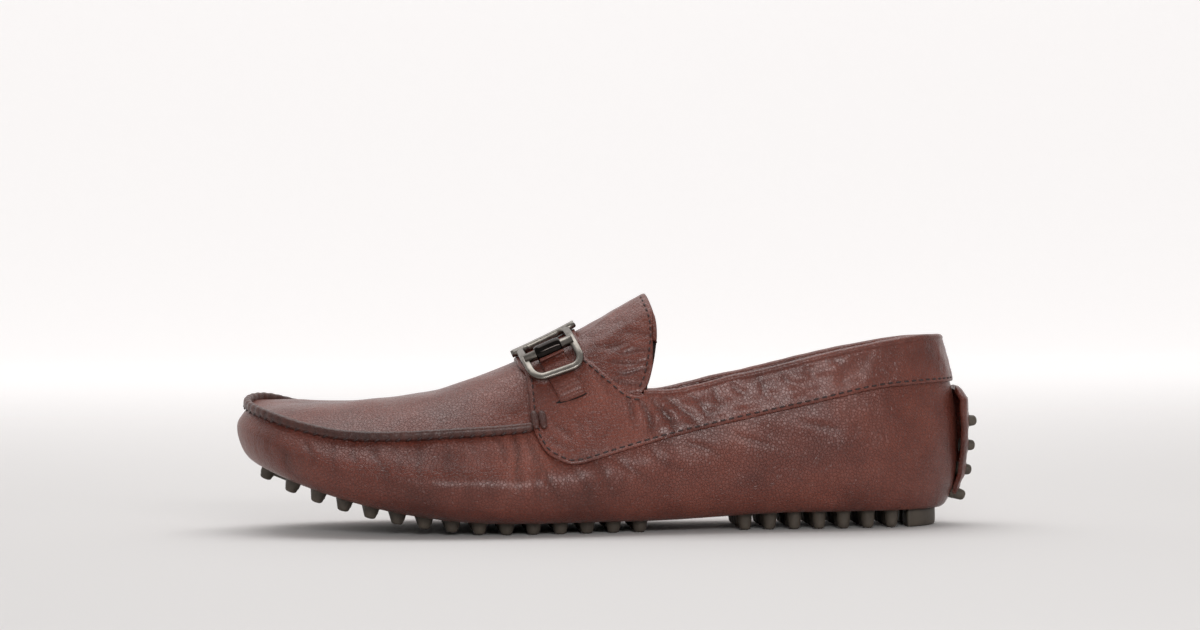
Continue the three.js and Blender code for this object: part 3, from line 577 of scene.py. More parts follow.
def new_material(name, **settings):
    """A material and its shader, with the shader's plain inputs set."""
    material = bpy.data.materials.new(name)
    material.use_nodes = True
    shader = material.node_tree.nodes["Principled BSDF"]
    for key, value in settings.items():
        shader.inputs[key.replace("_", " ")].default_value = value
    return material, shader


def ramp(material, source, stops):
    """A colour ramp with stops of (place, hex)."""
    made = node(material, "ValToRGB", {"Fac": source})
    elements = made.color_ramp.elements
    for k, (place, code) in enumerate(stops):
        element = elements[k] if k < 2 else elements.new(place)
        element.position = place
        element.color = colour(code)
    return made.outputs["Color"]


def leather(name, dark, mid, light, rough=0.42, grain=1.25, grain_depth=0.16, coat=0.2):
    """Calf leather: three shades by a slow cloud, and a pebble grain as a bump. The crease depth on
    the points paints shade into the troughs and a highlight onto their ridges.

    The grain is the distance to the edge of Voronoi cells, grain mm wide and grain_depth mm deep.
    """
    material, shader = new_material(
        name, Roughness=rough, IOR=1.5, Coat_Weight=coat, Coat_Roughness=0.25, Specular_IOR_Level=0.4)
    join = material.node_tree.links.new

    def ranged(source, **settings):
        """A number moved from one range to another."""
        return node(material, "MapRange", {"Value": source}, **settings).outputs["Result"]

    place = node(material, "TexCoord").outputs["Object"]
    cloud = node(material, "TexNoise", {"Vector": place}, Scale=1 / CLOUD, Detail=5.0, Roughness=0.6)
    shade = ramp(material, cloud.outputs["Fac"], [(0.3, dark), (0.7, light), (0.5, mid)])
    crease = node(material, "Attribute", attribute_name="crease").outputs["Fac"]
    # Painted shade: crease troughs come out darker, and their ridges lighter as a painted highlight.
    deep = ranged(crease, From_Min=-0.6, From_Max=0.35, To_Min=0.55, To_Max=1.12)
    cells = node(material, "TexVoronoi", {"Vector": place}, feature="DISTANCE_TO_EDGE", Scale=1000 / grain)
    furrow = ranged(cells.outputs["Distance"], From_Max=0.16, interpolation_type="SMOOTHSTEP")
    tone = ranged(furrow, To_Min=0.78, To_Max=1.0)
    both = node(material, "Math", {0: deep, 1: tone}, operation="MULTIPLY").outputs["Value"]
    tinted = node(material, "Mix", {6: shade, 7: both}, data_type="RGBA", blend_type="MULTIPLY")
    tinted.inputs[0].default_value = 1.0
    join(tinted.outputs[2], shader.inputs["Base Color"])
    stretch = node(material, "Mapping", {"Vector": place})
    stretch.inputs["Scale"].default_value = (1, 1, 0.55)
    lines = node(material, "TexNoise", {"Vector": stretch.outputs["Vector"]},
                 Scale=1 / WRINKLE, Detail=4.0, Distortion=0.6)
    bumps = node(material, "Bump", {"Height": furrow}, Strength=1.0, Distance=grain_depth * MM)
    folds = node(material, "Bump", {"Height": lines.outputs["Fac"], "Normal": bumps.outputs["Normal"]},
                 Strength=1.0, Distance=WRINKLE_DEPTH)
    join(folds.outputs["Normal"], shader.inputs["Normal"])
    patchy = ranged(cloud.outputs["Fac"], To_Min=rough - 0.1, To_Max=rough + 0.12)
    join(patchy, shader.inputs["Roughness"])
    return material


# The wrap: warm dark brown with a low polish, whose highlights are broad and broken by the grain.
wrap_calf = leather("polished_calf_wrap", *BROWN, rough=0.34, coat=0.15)
# The saddle, collar and tongue: a shade redder, smoother and glossier.
saddle_calf = leather(
    "polished_calf_saddle", "#5c2b21", "#723a2e", "#844638", rough=0.3, grain_depth=0.12)
# The moccasin seam and its keepers: almost black-brown, waxed, so that they draw a dark line.
seam_calf = leather(
    "waxed_calf_seam", "#3c1d17", "#4c271f", "#5e3228", rough=0.36, grain=0.9, grain_depth=0.08)
# The straps: the wrap's brown with a finer grain.
strap_calf = leather("polished_calf_strap", *BROWN, rough=0.36, grain=1.0)
# The lining: dull and nearly black, so that the inside reads as deep shade.
lining_suede = leather(
    "suede_lining", "#1c1210", "#241815", "#2e201b", rough=0.85, grain=0.8, grain_depth=0.05, coat=0.0)
# The insole: bare brown leather, a little lighter than the lining.
insole_leather = leather(
    "insole_leather", "#2a1c18", "#33231d", "#3d2b24", rough=0.6, grain=1.0, coat=0.0)


# %% Thread, rubber and metal
def plain(name, dark, light, size, depth, **settings):
    """A moulded or spun finish: two shades by noise of a real size, and a bump of the same noise."""
    material, shader = new_material(name, **settings)
    place = node(material, "TexCoord").outputs["Object"]
    noise = node(material, "TexNoise", {"Vector": place}, Scale=1000 / size, Detail=4.0, Roughness=0.6)
    shade = ramp(material, noise.outputs["Fac"], [(0.35, dark), (0.65, light)])
    material.node_tree.links.new(shade, shader.inputs["Base Color"])
    bump = node(material, "Bump", {"Height": noise.outputs["Fac"]}, Distance=depth * MM)
    material.node_tree.links.new(bump.outputs["Normal"], shader.inputs["Normal"])
    return material


# Waxed polyester thread: dark, with a soft shine that picks out each stitch.
thread = plain("waxed_thread", "#2a1715", "#3a2320", 0.4, 0.05, Roughness=0.5)
# Moulded rubber: taupe, matt and faintly mottled, the only pale thing under the dark leather.
rubber = plain("moulded_rubber", "#443c34", "#554c42", 6, 0.12, Roughness=0.62, IOR=1.52)
# Cast zinc with a pewter finish: grey and satin, brighter than anything round it.
gunmetal = plain("pewter_gunmetal", "#77726c", "#8c8780", 2.5, 0.03, Metallic=1.0, Roughness=0.3)
# Black nickel plate polished like a mirror: black with one sharp streak of light.
black_nickel = plain(
    "polished_black_nickel", "#201d1c", "#2a2624", 3, 0.005, Metallic=1.0, Roughness=0.09)
# The inside of a slit: a dark cord of painted shade laid over the saddle.
shadow = plain("painted_slit_shadow", "#100b0a", "#18100e", 1, 0.05, Roughness=0.9)


# %% [markdown]
# ## The wrap and the apron
# One piece of leather is drawn up round the last and runs over the toe as the apron. It stops
# where the foot goes in and a little way under the saddle.

# %% The wrap
def edge_roll(edge, drop=0.35, width=1.2):
    """How far a cut edge falls away: a parabola over the last millimetre."""
    return -drop * (1 - np.clip(edge / width, 0, 1)) ** 2


UNDER_SADDLE, CUT_MERGE = 5, 0.01
under_saddle = behind_seam - np.array([UNDER_SADDLE, 0])


def cut_piece(name, grid, keep, lift, slot, material, thickness, lines=(), shift=0, loop=False):
    """A leather piece: cut from the skin on a grid (s, v), thickened, and its crease depth kept for painted
    shade.
    """
    points, faces, base = cut_skin(*grid, keep, lift, loop=loop)
    depth = creases(base, lines, shift)
    return rim(add_mesh(name, points, faces, slot, material, CUT_MERGE, depth), thickness)


def wrap_keep(p):
    """Neither in the opening nor behind the tongue's seam, but a little way under the saddle."""
    return -np.maximum(inside(opening, side_view(p, TILT)), inside(under_saddle, side_view(p)))


def wrap_lift(p, edge):
    """Creases with a low top, and a puff that dies away at the sole's edge."""
    fold = creases(p, WRAP_CREASES, shift=6)
    puff = 0.18 * ripple(p, 3, 16) * smoothstep(p[..., 2] - keel(p[..., 0]), 1, 8)
    return np.minimum(fold, 0.6) + puff


round_grid = (np.arange(432) * 16 / 432, rows(6, 44, 44, 60))
wrap = cut_piece("wrap", round_grid, wrap_keep, wrap_lift, "wrap_leather", wrap_calf, WALL,
                 WRAP_CREASES, shift=6, loop=True)
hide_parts("upper")

# %% [markdown]
# ## The saddle, the tongue and the lining
# The saddle is a second leather sewn over the wrap and runs on as a band along the collar. The
# tongue stands up behind it. The lining is the same skin, one wall further in, turned inside out.

# %% The saddle
PUFF_AT, PUFF_SIZE = np.array([-13.0, 36.5]), np.array([9, 6.5])


def saddle_keep(p):
    """Inside the saddle's outline, in front of the opening and of the tongue's seam."""
    q = side_view(p)
    away = -np.maximum(inside(opening, side_view(p, TILT)), inside(behind_seam, q))
    return np.minimum(inside(saddle_outline, q), away)


def saddle_lift(p, edge):
    """The edge rolls down; inside it lie one puff at the front, loose ripples and the creases."""
    q = side_view(p)
    puff = 1.1 * np.exp(-(((q - PUFF_AT) / PUFF_SIZE) ** 2).sum(-1))
    loose = 0.15 * ripple(p, 8, 12) + 0.12 * ripple(p, 9, 5) * smoothstep(q[..., 0], 5, 20)
    soft = smoothstep(edge, 0, 4)
    fold = np.clip(creases(p, SADDLE_CREASES, shift=5), -0.95, 0.6)
    return SADDLE_LIFT + edge_roll(edge) + soft * (puff + loose + fold)


v_side = np.concatenate([np.linspace(1.7, 3, 60), np.linspace(3, 4, 86)[1:]])
saddle = cut_piece("saddle_leather", (np.linspace(2.9, 13.1, 420), v_side), saddle_keep, saddle_lift,
                   "saddle_leather", saddle_calf, OVERLAY, SADDLE_CREASES, shift=5)
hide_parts("saddle")


# %% The tongue
def tongue_keep(p):
    """Behind the seam, with a little way under the saddle, and in front of the opening."""
    return np.minimum(inside(under_saddle, side_view(p)), -inside(opening, side_view(p, TILT)))


def tongue_lift(p, edge):
    """The edge rolls down; inside it lie the creases and a fine ripple."""
    fold = np.clip(creases(p, TONGUE_CREASES, shift=2), -0.8, 0.5)
    return edge_roll(edge, 0.3) + smoothstep(edge, 0, 3) * (fold + 0.12 * ripple(p, 21, 7))


s_front = np.linspace(2.9, 5.6, 150)
v_top = np.linspace(2.6, 4, 150)
halves = [cut_skin(side * s_front[::side], v_top, tongue_keep, tongue_lift) for side in (1, -1)]
# The crease depth on the points paints shade into the troughs and a highlight onto the ridges.
depth = creases(np.concatenate([half[2] for half in halves]), TONGUE_CREASES, shift=2)
tongue = rim(add_mesh("tongue_leather", *joined([half[:2] for half in halves]), "saddle_leather",
                      saddle_calf, CUT_MERGE, depth), WALL)
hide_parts("tongue")


# %% The lining and the insole
def lining_keep(p):
    """All of the skin but the opening."""
    return -inside(opening, side_view(p, TILT))


def lining_lift(p, edge):
    """One wall further in."""
    return np.full(edge.shape, -WALL)


points, faces, base = cut_skin(np.arange(192) / 12, rows(2, 8, 10, 24), lining_keep, lining_lift, loop=True)
faces = [block[:, ::-1] for block in faces]
add_mesh("lining", points, faces, "lining", lining_suede, CUT_MERGE)

INSOLE_TOP, INSOLE_CURL, AROUND, ACROSS = 4.1, 1.2, 160, 13
s_foot = np.arange(AROUND) / 10
ring = lifted(s_foot, np.full(AROUND, 1.3), np.full(AROUND, -WALL - GAP))
middle = skin(s_foot, np.zeros(AROUND))
t = np.linspace(0, 1, ACROSS)[:, None, None]
foot = middle + t * (ring - middle)
foot[..., 2] = keel(foot[..., 0]) + INSOLE_TOP + INSOLE_CURL * t[..., 0] ** 6
faces = [grid_faces(ACROSS, AROUND, close_columns=True)[:, ::-1]]
insole = add_mesh("insole_cover", foot, faces, "lining", insole_leather, CUT_MERGE)
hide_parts("insole")


# %% [markdown]
# ## Profiles carried along paths
# The moccasin seam, the rolled collar, the rings and the straps are all one idea: a closed profile
# carried along a path. Each place on the path has its own two directions for the profile.

# %% Sweeps
def round_profile(width, height, power=1.0, count=16):
    """A closed oval; with a power below one it squares up into a bar with rounded corners."""
    turn = np.arange(count) * 2 * np.pi / count
    c, d = np.cos(turn), np.sin(turn)
    return np.stack([np.sign(c) * np.abs(c) ** power * width / 2,
                     np.sign(d) * np.abs(d) ** power * height / 2], -1)


def sweep(path, across, up, profile, swell=None, closed=False):
    """Points path + across * x + up * y, for every place and profile point, with fans at open ends."""
    path = np.asarray(path, float)
    across, up = (np.broadcast_to(a, path.shape) for a in (across, up))
    n, m = len(path), len(profile)
    swell = np.ones((n, 1)) if swell is None else np.asarray(swell).reshape(n, -1)
    x, y = profile[None, :, 0] * swell, profile[None, :, 1] * swell
    points = path[:, None] + across[:, None] * x[..., None] + up[:, None] * y[..., None]
    faces = [grid_faces(n, m, close_rows=closed, close_columns=True)]
    if not closed:
        points = np.concatenate([points.reshape(-1, 3), points[[0, -1]].mean(1)])
        k = np.arange(m)
        last = (n - 1) * m
        faces.append(np.stack([np.full(m, n * m), (k + 1) % m, k], -1)[:, ::-1])
        faces.append(np.stack([np.full(m, n * m + 1), last + k, last + (k + 1) % m], -1)[:, ::-1])
    return points.reshape(-1, 3), faces


def tangents(path, closed=False):
    """The direction at each point: from the one before to the one after."""
    ahead, behind = np.roll(path, -1, 0), np.roll(path, 1, 0)
    if not closed:
        ahead[-1], behind[0] = path[-1], path[0]
    return unit(ahead - behind)


def run_length(path):
    """The distance walked up to each point."""
    return np.concatenate([[0], np.cumsum(np.linalg.norm(np.diff(path, axis=0), axis=-1))])


def interp_rows(at, run, values):
    """Each column of values at some distances along a run."""
    return np.stack([np.interp(at, run, values[:, k]) for k in range(values.shape[1])], -1)


def closed_piece(name, parts, slot, material, merge=0.0, depth=None):
    """One object of several closed (points, faces), with every face turned outwards."""
    piece = add_mesh(name, *joined(parts), slot, material, merge, depth)
    work = bmesh.new()
    work.from_mesh(piece.data)
    bmesh.ops.recalc_face_normals(work, faces=work.faces)
    work.to_mesh(piece.data)
    work.free()
    return piece


# %% [markdown]
# ## The moccasin seam
# Wrap and apron are gathered together over a cord, so the seam stands up as a ridge, and it swells
# between one stitch and the next. Round the toe the swellings grow into a rope.

# %% The seam
SEAM_END_X, SEAM_STEPS, STITCH_PITCH = -31.2, 900, 4.0
s_try = np.linspace(2, 5, 301)
seam_ends = [float(np.interp(SEAM_END_X, station(side * s_try)[:, 5], s_try)) for side in (-1, 1)]
s_seam = np.linspace(-seam_ends[0], seam_ends[1], SEAM_STEPS)
at_seam = station(s_seam)
shoulder, middle_x = at_seam[:, 5:8], at_seam[:, 10]
seam_out = unit(stack(shoulder[:, 0] - middle_x, shoulder[:, 1], 0))
seam_path = shoulder + seam_out * 0.3 + UP
seam_run = run_length(seam_path)
gathered = 0.025 + 0.035 * np.exp(-(s_seam / 1.1) ** 2)
swell = 1 + gathered * np.cos(2 * np.pi * seam_run / STITCH_PITCH)
swell *= np.minimum(1, 0.5 + np.minimum(s_seam - s_seam[0], s_seam[-1] - s_seam) * 12)
seam_profile = round_profile(3.1, 3.9, 0.85, 20)
# Painted shade and highlight: the swelling serves as crease depth, so dips between stitches darken and
# swellings lighten.
depth = np.concatenate([np.repeat((swell - 1) * 6, 20), [0, 0]])
seam = closed_piece("moccasin_seam_ridge", [sweep(seam_path, seam_out, UP, seam_profile, swell)],
                    "seam_leather", seam_calf, depth=depth)
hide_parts("moccasin_seam")


# %% [markdown]
# ## Stitches
# A stitch is a short rounded rod of thread that dips into the leather at both ends. One rod is
# worked out once and put in place many times along a seam, all in one mesh.

# %% Places on the skin
NUDGE, LEAP = 0.002, 0.1  # in s and v: to measure a slope, and the longest step


def find(coords, target, guess_s, guess_v):
    """(s, v) where two coordinates of the skin reach a target: Newton steps from the nearest guess."""
    gs, gv = np.meshgrid(guess_s, guess_v, indexing="ij")
    seen = coords(skin(gs, gv)).reshape(-1, 2)
    start = np.array([np.argmin(((seen - one) ** 2).sum(-1)) for one in target])
    s, v = gs.ravel()[start], gv.ravel()[start]
    for _ in range(ROUNDS):
        here = coords(skin(s, v))
        js = (coords(skin(s + NUDGE, v)) - here) / NUDGE
        jv = (coords(skin(s, np.minimum(v + NUDGE, 4))) - coords(skin(s, v - NUDGE))) / (2 * NUDGE)
        off = target - here
        det = js[:, 0] * jv[:, 1] - js[:, 1] * jv[:, 0]
        det = np.where(np.abs(det) < 1e-3, 1e-3, det)
        s = s + np.clip((off[:, 0] * jv[:, 1] - off[:, 1] * jv[:, 0]) / det, -LEAP, LEAP)
        v = v + np.clip((off[:, 1] * js[:, 0] - off[:, 0] * js[:, 1]) / det, -LEAP, LEAP)
        v = np.clip(v, 1.2, 4)
    miss = np.linalg.norm(target - coords(skin(s, v)), axis=-1)
    return s, v, miss


def on_side(line, side, tilt=0.0, v_range=(1.6, 4)):
    """The skin under a line of (x, z) seen from one side; points off the skin are left out."""
    guess = np.linspace(0.3, 8, 190) * side
    s, v, miss = find(lambda p: side_view(p, tilt), np.asarray(line), guess, np.linspace(*v_range, 70))
    return s[miss < 0.3], v[miss < 0.3]


def inset(line, distance):
    """A line moved sideways by a distance."""
    t = np.gradient(line, axis=0)
    t /= np.linalg.norm(t, axis=-1, keepdims=True)
    return line + distance * np.stack([-t[:, 1], t[:, 0]], -1)


# %% Stitch runs
def rods(places, directions, normals, length, radius):
    """Rounded rods: rings of six points whose radius follows a half circle at both ends."""
    turn = np.arange(6) * np.pi / 3
    at = np.array([-0.5, -0.4, -0.2, 0.2, 0.4, 0.5]) * length
    size = np.array([0.15, 0.75, 1, 1, 0.75, 0.15]) * radius
    dip = np.array([-0.5, -0.1, 0.15, 0.15, -0.1, -0.5]) * radius
    side = unit(np.cross(normals, directions))
    rise = (size[:, None] * np.sin(turn) + dip[:, None])[None, ..., None]
    reach = (size[:, None] * np.cos(turn))[None, ..., None]
    points = (places[:, None, None] + directions[:, None, None] * at[None, :, None, None]
              + side[:, None, None] * reach + normals[:, None, None] * rise)
    tube = grid_faces(6, 6, close_columns=True)
    caps = np.array([[0, 1, 2, 3], [0, 3, 4, 5], [33, 32, 31, 30], [35, 34, 33, 30]])
    shift = (np.arange(len(places)) * 36)[:, None, None]
    return points.reshape(-1, 3), [(faces[None] + shift).reshape(-1, 4) for faces in (tube, caps)]


def stitch_row(path, run, normals, at, length, radius, step=0.4, tip=0.0):
    """Stitches at distances along a run, laid along the path with their heads tipped up by tip."""
    place, ahead = interp_rows(at, run, path), interp_rows(at + step, run, path)
    direction = unit(unit(ahead - place) + tip * UP)
    return rods(place, direction, unit(interp_rows(at, run, normals)), length, radius)


STITCH_LIFT = 0.12
runs = []
for side in (1, -1):
    for line, tilt, lift, pitch, length, radius in (
        (inset(saddle_seam, 1.3), 0.0, SADDLE_LIFT, 3.4, 2.3, 0.36),
        (inset(saddle_front, 1.8)[6:], 0.0, SADDLE_LIFT, 3.2, 2.2, 0.32),
        (inset(tongue_seam, -1.6)[6:-2], 0.0, SADDLE_LIFT, 3.3, 2.3, 0.34),
        (inset(tongue_line, -2.2)[2:-3], TILT, 0.0, 3.0, 2.0, 0.32),
    ):
        s, v = on_side(line, side, tilt)
        path = lifted(s, v, np.full(len(s), lift + STITCH_LIFT))
        run = run_length(path)
        at = np.arange(pitch / 2, run[-1], pitch)
        runs.append(stitch_row(path, run, outward(s, v), at, length, radius))
closed_piece("seam_stitches", runs, "seam_leather", thread)

at = np.arange(2, seam_run[-1] - 1, STITCH_PITCH)
below = seam_path + (seam_out - UP) * 1.25
row = stitch_row(below, seam_run, seam_out - 0.6 * UP, at, 2.5, 0.45, step=0.5, tip=0.5)
closed_piece("seam_ridge_stitches", [row], "seam_leather", thread)
print("stitches:", len(at), "on the ridge")

# %% [markdown]
# ## The rolled collar
# The saddle's leather turns over the edge of the opening and meets the lining inside. A round roll
# as wide as all the layers follows the edge from one side of the tongue, round the heel, to the other.

# %% The collar
s_try, v_try = np.linspace(4.2, 11.8, 560), np.linspace(2.3, 3.9, 160)
depth = inside(opening, side_view(skin(s_try[:, None], v_try[None]), TILT))
first = np.argmax(depth > 0, axis=1)  # the first place up the wall that lies in the opening
column = np.arange(len(s_try))
low, high = depth[column, first - 1], depth[column, first]
v_edge = v_try[first - 1] + (v_try[1] - v_try[0]) * low / (low - high)
edge_x = skin(s_try, v_edge)[:, 0]
ok = (edge_x > THROAT[0] + 0.2) & (first > 0)
s_edge, v_edge = s_try[ok], v_edge[ok]
outer = lifted(s_edge, v_edge, np.full(len(s_edge), SADDLE_LIFT))
inner = lifted(s_edge, v_edge, np.full(len(s_edge), -WALL))
layers = unit(outer - inner)
upward = unit(np.cross(tangents(outer), layers))
upward *= np.sign(upward[:, 2:3])
swell = 1 + 0.04 * ripple(outer, 5, 9)
roll = sweep((outer + inner) / 2 + upward * 0.1, layers, upward, round_profile(3.7, 3.0, 0.95), swell)
closed_piece("rolled_collar", [roll], "saddle_leather", saddle_calf)


# %% [markdown]
# ## The rubber
# Rubber studs come out of two pads under the forefoot and one under the heel, and the heel ends in
# a crescent block. A stud is turned: a profile spun round its axis, flared where it leaves the
# pad and rounded at the tip.

# %% Pads
SOLE_MARGIN, STUD_BASE, STUD_TIP, STUD_PITCH = 1.5, 6.2, 4.8, 10
FOREFOOT_END, HEEL_START = along(0.563), along(0.677)
OUTLINE = 192  # points round the sole


def footprint(margin):
    """The edge of the flat bottom seen from above, moved inwards."""
    s = np.arange(OUTLINE) * 16 / OUTLINE
    a, b = station(s + 0.05)[:, :2], station(s - 0.05)[:, :2]
    step = unit(a - b)
    return station(s)[:, :2] + margin * np.stack([-step[:, 1], step[:, 0]], -1)


def crossing(outline, x):
    """The lowest and highest y where an outline crosses x."""
    a, b = outline, np.roll(outline, -1, 0)
    hit = (a[:, 0] < x) != (b[:, 0] < x)
    y = a[hit, 1] + (b[hit, 1] - a[hit, 1]) * (x - a[hit, 0]) / (b[hit, 0] - a[hit, 0])
    return y.min(), y.max()


def even_rows(start, end, pitch):
    """Places x about a pitch apart, evenly spaced along the bottom's curve."""
    x = np.linspace(start, end, 201)
    run = run_length(np.stack([x, keel(x)], -1))
    gaps = max(1, round(run[-1] / pitch))
    return np.interp(run[-1] * np.arange(gaps + 1) / gaps, run, x)


def stud_spots(outline, start, end):
    """Rows of evenly spaced spots from edge to edge of an outline; a narrow row has one."""
    spots = []
    for x in even_rows(start, end, STUD_PITCH):
        low, high = crossing(outline, x)
        gaps = round((high - low) / STUD_PITCH)
        across = np.linspace(low, high, gaps + 1) if gaps else [(low + high) / 2]
        spots += [(x, y, keel(x)) for y in across]
    return np.array(spots)


EDGE_INSET = SOLE_MARGIN + STUD_BASE / 2
limit = footprint(EDGE_INSET)
forefoot_spots = stud_spots(limit, FOREFOOT_END - EDGE_INSET, limit[:, 0].min() + 0.2)
heel_spots = stud_spots(limit, HEEL_START + EDGE_INSET, along(0.8985))
row_x = np.unique(np.round(forefoot_spots[:, 0], 4))
PAD_SPLIT = (row_x[2] + row_x[3]) / 2
print("studs:", len(forefoot_spots), "and", len(heel_spots), "- pads part at", round(PAD_SPLIT, 1))


PAD_ROWS, PAD_COLUMNS, PROUD, PAD_TOP, PAD_DOME = 60, 22, 0.25, 1.2, 0.5


def half_wave(count):
    """From 0 to 1, with the steps close together at both ends."""
    return 0.5 - 0.5 * np.cos(np.linspace(0, np.pi, count))


def pad(start, end):
    """A flat sheet over the footprint between two places, domed down at its edges."""
    outline = footprint(SOLE_MARGIN)
    start, end = max(start, outline[:, 0].min() + 0.02), min(end, outline[:, 0].max() - 0.02)
    x = start + (end - start) * half_wave(PAD_ROWS)
    span = np.array([crossing(outline, one) for one in x])
    wide, t = span[:, 1:] - span[:, :1], half_wave(PAD_COLUMNS)
    y = span[:, :1] + wide * t
    rise = PAD_DOME * (1 - np.clip(np.minimum(t, 1 - t)[None] * wide / 1.5, 0, 1)) ** 2
    under = stack(x[:, None], y, keel(x)[:, None] - PROUD + rise)
    top = stack(x[:, None], y, np.broadcast_to(keel(x)[:, None] + PAD_TOP, y.shape))
    sheet = grid_faces(PAD_ROWS, PAD_COLUMNS)
    number = np.arange(y.size).reshape(y.shape)
    border = np.concatenate([number[0], number[1:, -1], number[-1, -2::-1], number[-2:0:-1, 0]])
    ahead = np.roll(border, -1)
    wall = np.stack([border, ahead, ahead + y.size, border + y.size], -1)
    return (np.concatenate([under.reshape(-1, 3), top.reshape(-1, 3)]),
            [sheet[:, ::-1], sheet + y.size, wall])


# %% Studs
def spun(places, axes, profile, sides=12):
    """A profile of (out along the axis, radius) spun round each axis from its place."""
    turn = np.arange(sides) * 2 * np.pi / sides
    helper = np.where(np.abs(axes[:, :1]) < 0.8, [[1.0, 0, 0]], [[0, 1.0, 0]])
    a = unit(np.cross(axes, helper))
    b = np.cross(axes, a)
    ring = a[:, None] * np.cos(turn)[None, :, None] + b[:, None] * np.sin(turn)[None, :, None]
    profile = np.asarray(profile)
    if profile.ndim == 2:
        profile = np.broadcast_to(profile, (len(places), *profile.shape))
    n, m = len(places), profile.shape[1]
    points = (places[:, None, None] + axes[:, None, None] * profile[:, :, None, :1]
              + ring[:, None] * profile[:, :, None, 1:])
    tube = grid_faces(m, sides, close_columns=True)
    shift = (np.arange(n) * m * sides)[:, None, None]
    return points.reshape(-1, 3), [(tube[None] + shift).reshape(-1, 4)]


def stud_profile(tall, base, tip):
    """Flare at the foot, a straight taper, then a quarter-round tip that closes in the middle."""
    r, foot, end = 1.5, base / 2, tip / 2
    return np.array([
        (-0.4, foot + 1.2), (0.1, foot + 0.35), (0.7, foot - 0.1), (tall * 0.5, (foot + end) / 2 + 0.05),
        (tall - r, end), (tall - 0.7 * r, end - 0.05), (tall - 0.3 * r, end - 0.35),
        (tall - 0.06 * r, end - 1.0), (tall, end - 1.7), (tall, 0.01),
    ])


def studs(spots):
    """A stud at each spot, square to the bottom; behind the spring it reaches the floor."""
    slope = np.minimum(0, keel(spots[:, 0] + 0.5) - keel(spots[:, 0] - 0.5))
    axes = unit(stack(slope, 0 * slope, -1 + 0 * slope))
    tall = np.where(spots[:, 0] > SPRING_START, spots[:, 2], FOREFOOT_STUD)
    tip = np.where(spots[:, 0] > HEEL_START, 4.4, STUD_TIP)
    return spun(spots, axes, np.stack([stud_profile(*one) for one in zip(tall, tip + 1.2, tip)]))


in_toe = forefoot_spots[:, 0] < PAD_SPLIT
front_row = forefoot_spots[np.isclose(forefoot_spots[:, 0], row_x[0], atol=1e-3)]
x = np.linspace(row_x[0], row_x[1], 12)
bars = [sweep(stack(x, spot[1], keel(x) - 0.9), [0, 1.0, 0], UP, round_profile(2.6, 3.0, 0.8, 10))
        for spot in front_row]
PAD_GAP, RUBBER_MERGE = 0.15, 0.02
toe_parts = [pad(-FAR, PAD_SPLIT - PAD_GAP), studs(forefoot_spots[in_toe])] + bars
toe_sole = closed_piece("toe_rubber", toe_parts, "rubber", rubber, RUBBER_MERGE)
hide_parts("toe_sole")
ball_parts = [pad(PAD_SPLIT + PAD_GAP, FOREFOOT_END), studs(forefoot_spots[~in_toe])]
forefoot_sole = closed_piece("forefoot_rubber", ball_parts, "rubber", rubber, RUBBER_MERGE)
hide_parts("forefoot_sole")

# %% The heel block
BLOCK_FRONT, BLOCK_DEPTH = along(0.921), 11
rear = footprint(SOLE_MARGIN)
tail = np.where(rear[:, 0] > BLOCK_FRONT)[0]
at = np.linspace(tail[0], tail[-1], 60)
outer_arc = interp_rows(at, np.arange(OUTLINE), rear)
inner_arc = interp_rows(at, np.arange(OUTLINE), footprint(SOLE_MARGIN + BLOCK_DEPTH))
inner_arc[:, 0] = np.maximum(inner_arc[:, 0], BLOCK_FRONT)
block_top = keel(along(1.0)) + 0.6
centre, half = (outer_arc + inner_arc) / 2, (outer_arc - inner_arc) / 2
block = sweep(stack(centre[:, 0], centre[:, 1], block_top / 2), stack(half[:, 0], half[:, 1], 0), UP,
              round_profile(2, block_top, 0.28, 28))
heel_parts = [pad(HEEL_START, FAR), studs(heel_spots), block]
heel_sole = closed_piece("heel_rubber", heel_parts, "rubber", rubber, RUBBER_MERGE)
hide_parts("heel_sole")

# %% [markdown]
# ## The back of the heel
# A leather patch is sewn over a rubber strip on the back seam, and four pebbles of the strip come
# through it, so that the heel can rest on the floor of a car. The patch swells over the strip, has
# a raised lip and rises round each pebble.

# %% The patch
PATCH_LEATHER, BACK_STRIP = 1.4, 2
PATCH_FOOT, PATCH_TOP, PATCH_X = back(0.105), back(0.745), along(0.986)
tall = PATCH_TOP - PATCH_FOOT


def strip_thickness(up):
    """The rubber strip, thin at its foot and thicker with the square of the way up."""
    return BACK_STRIP * (0.45 + 1.95 * up**2)


def stand_off(p):
    """Most along the back seam, least at the edges: strip thickness times a swelling."""
    up = np.clip((p[..., 2] - PATCH_FOOT) / tall, 0, 1)
    across = np.clip(np.abs(p[..., 1]) / (HEEL_WIDTH * 0.27), 0, 1)
    swell = np.minimum(np.minimum(1, 4 * up), 8 * (1 - up)) * (1 - across**3)
    return GAP + (strip_thickness(up) + GAP) * np.maximum(0, swell)


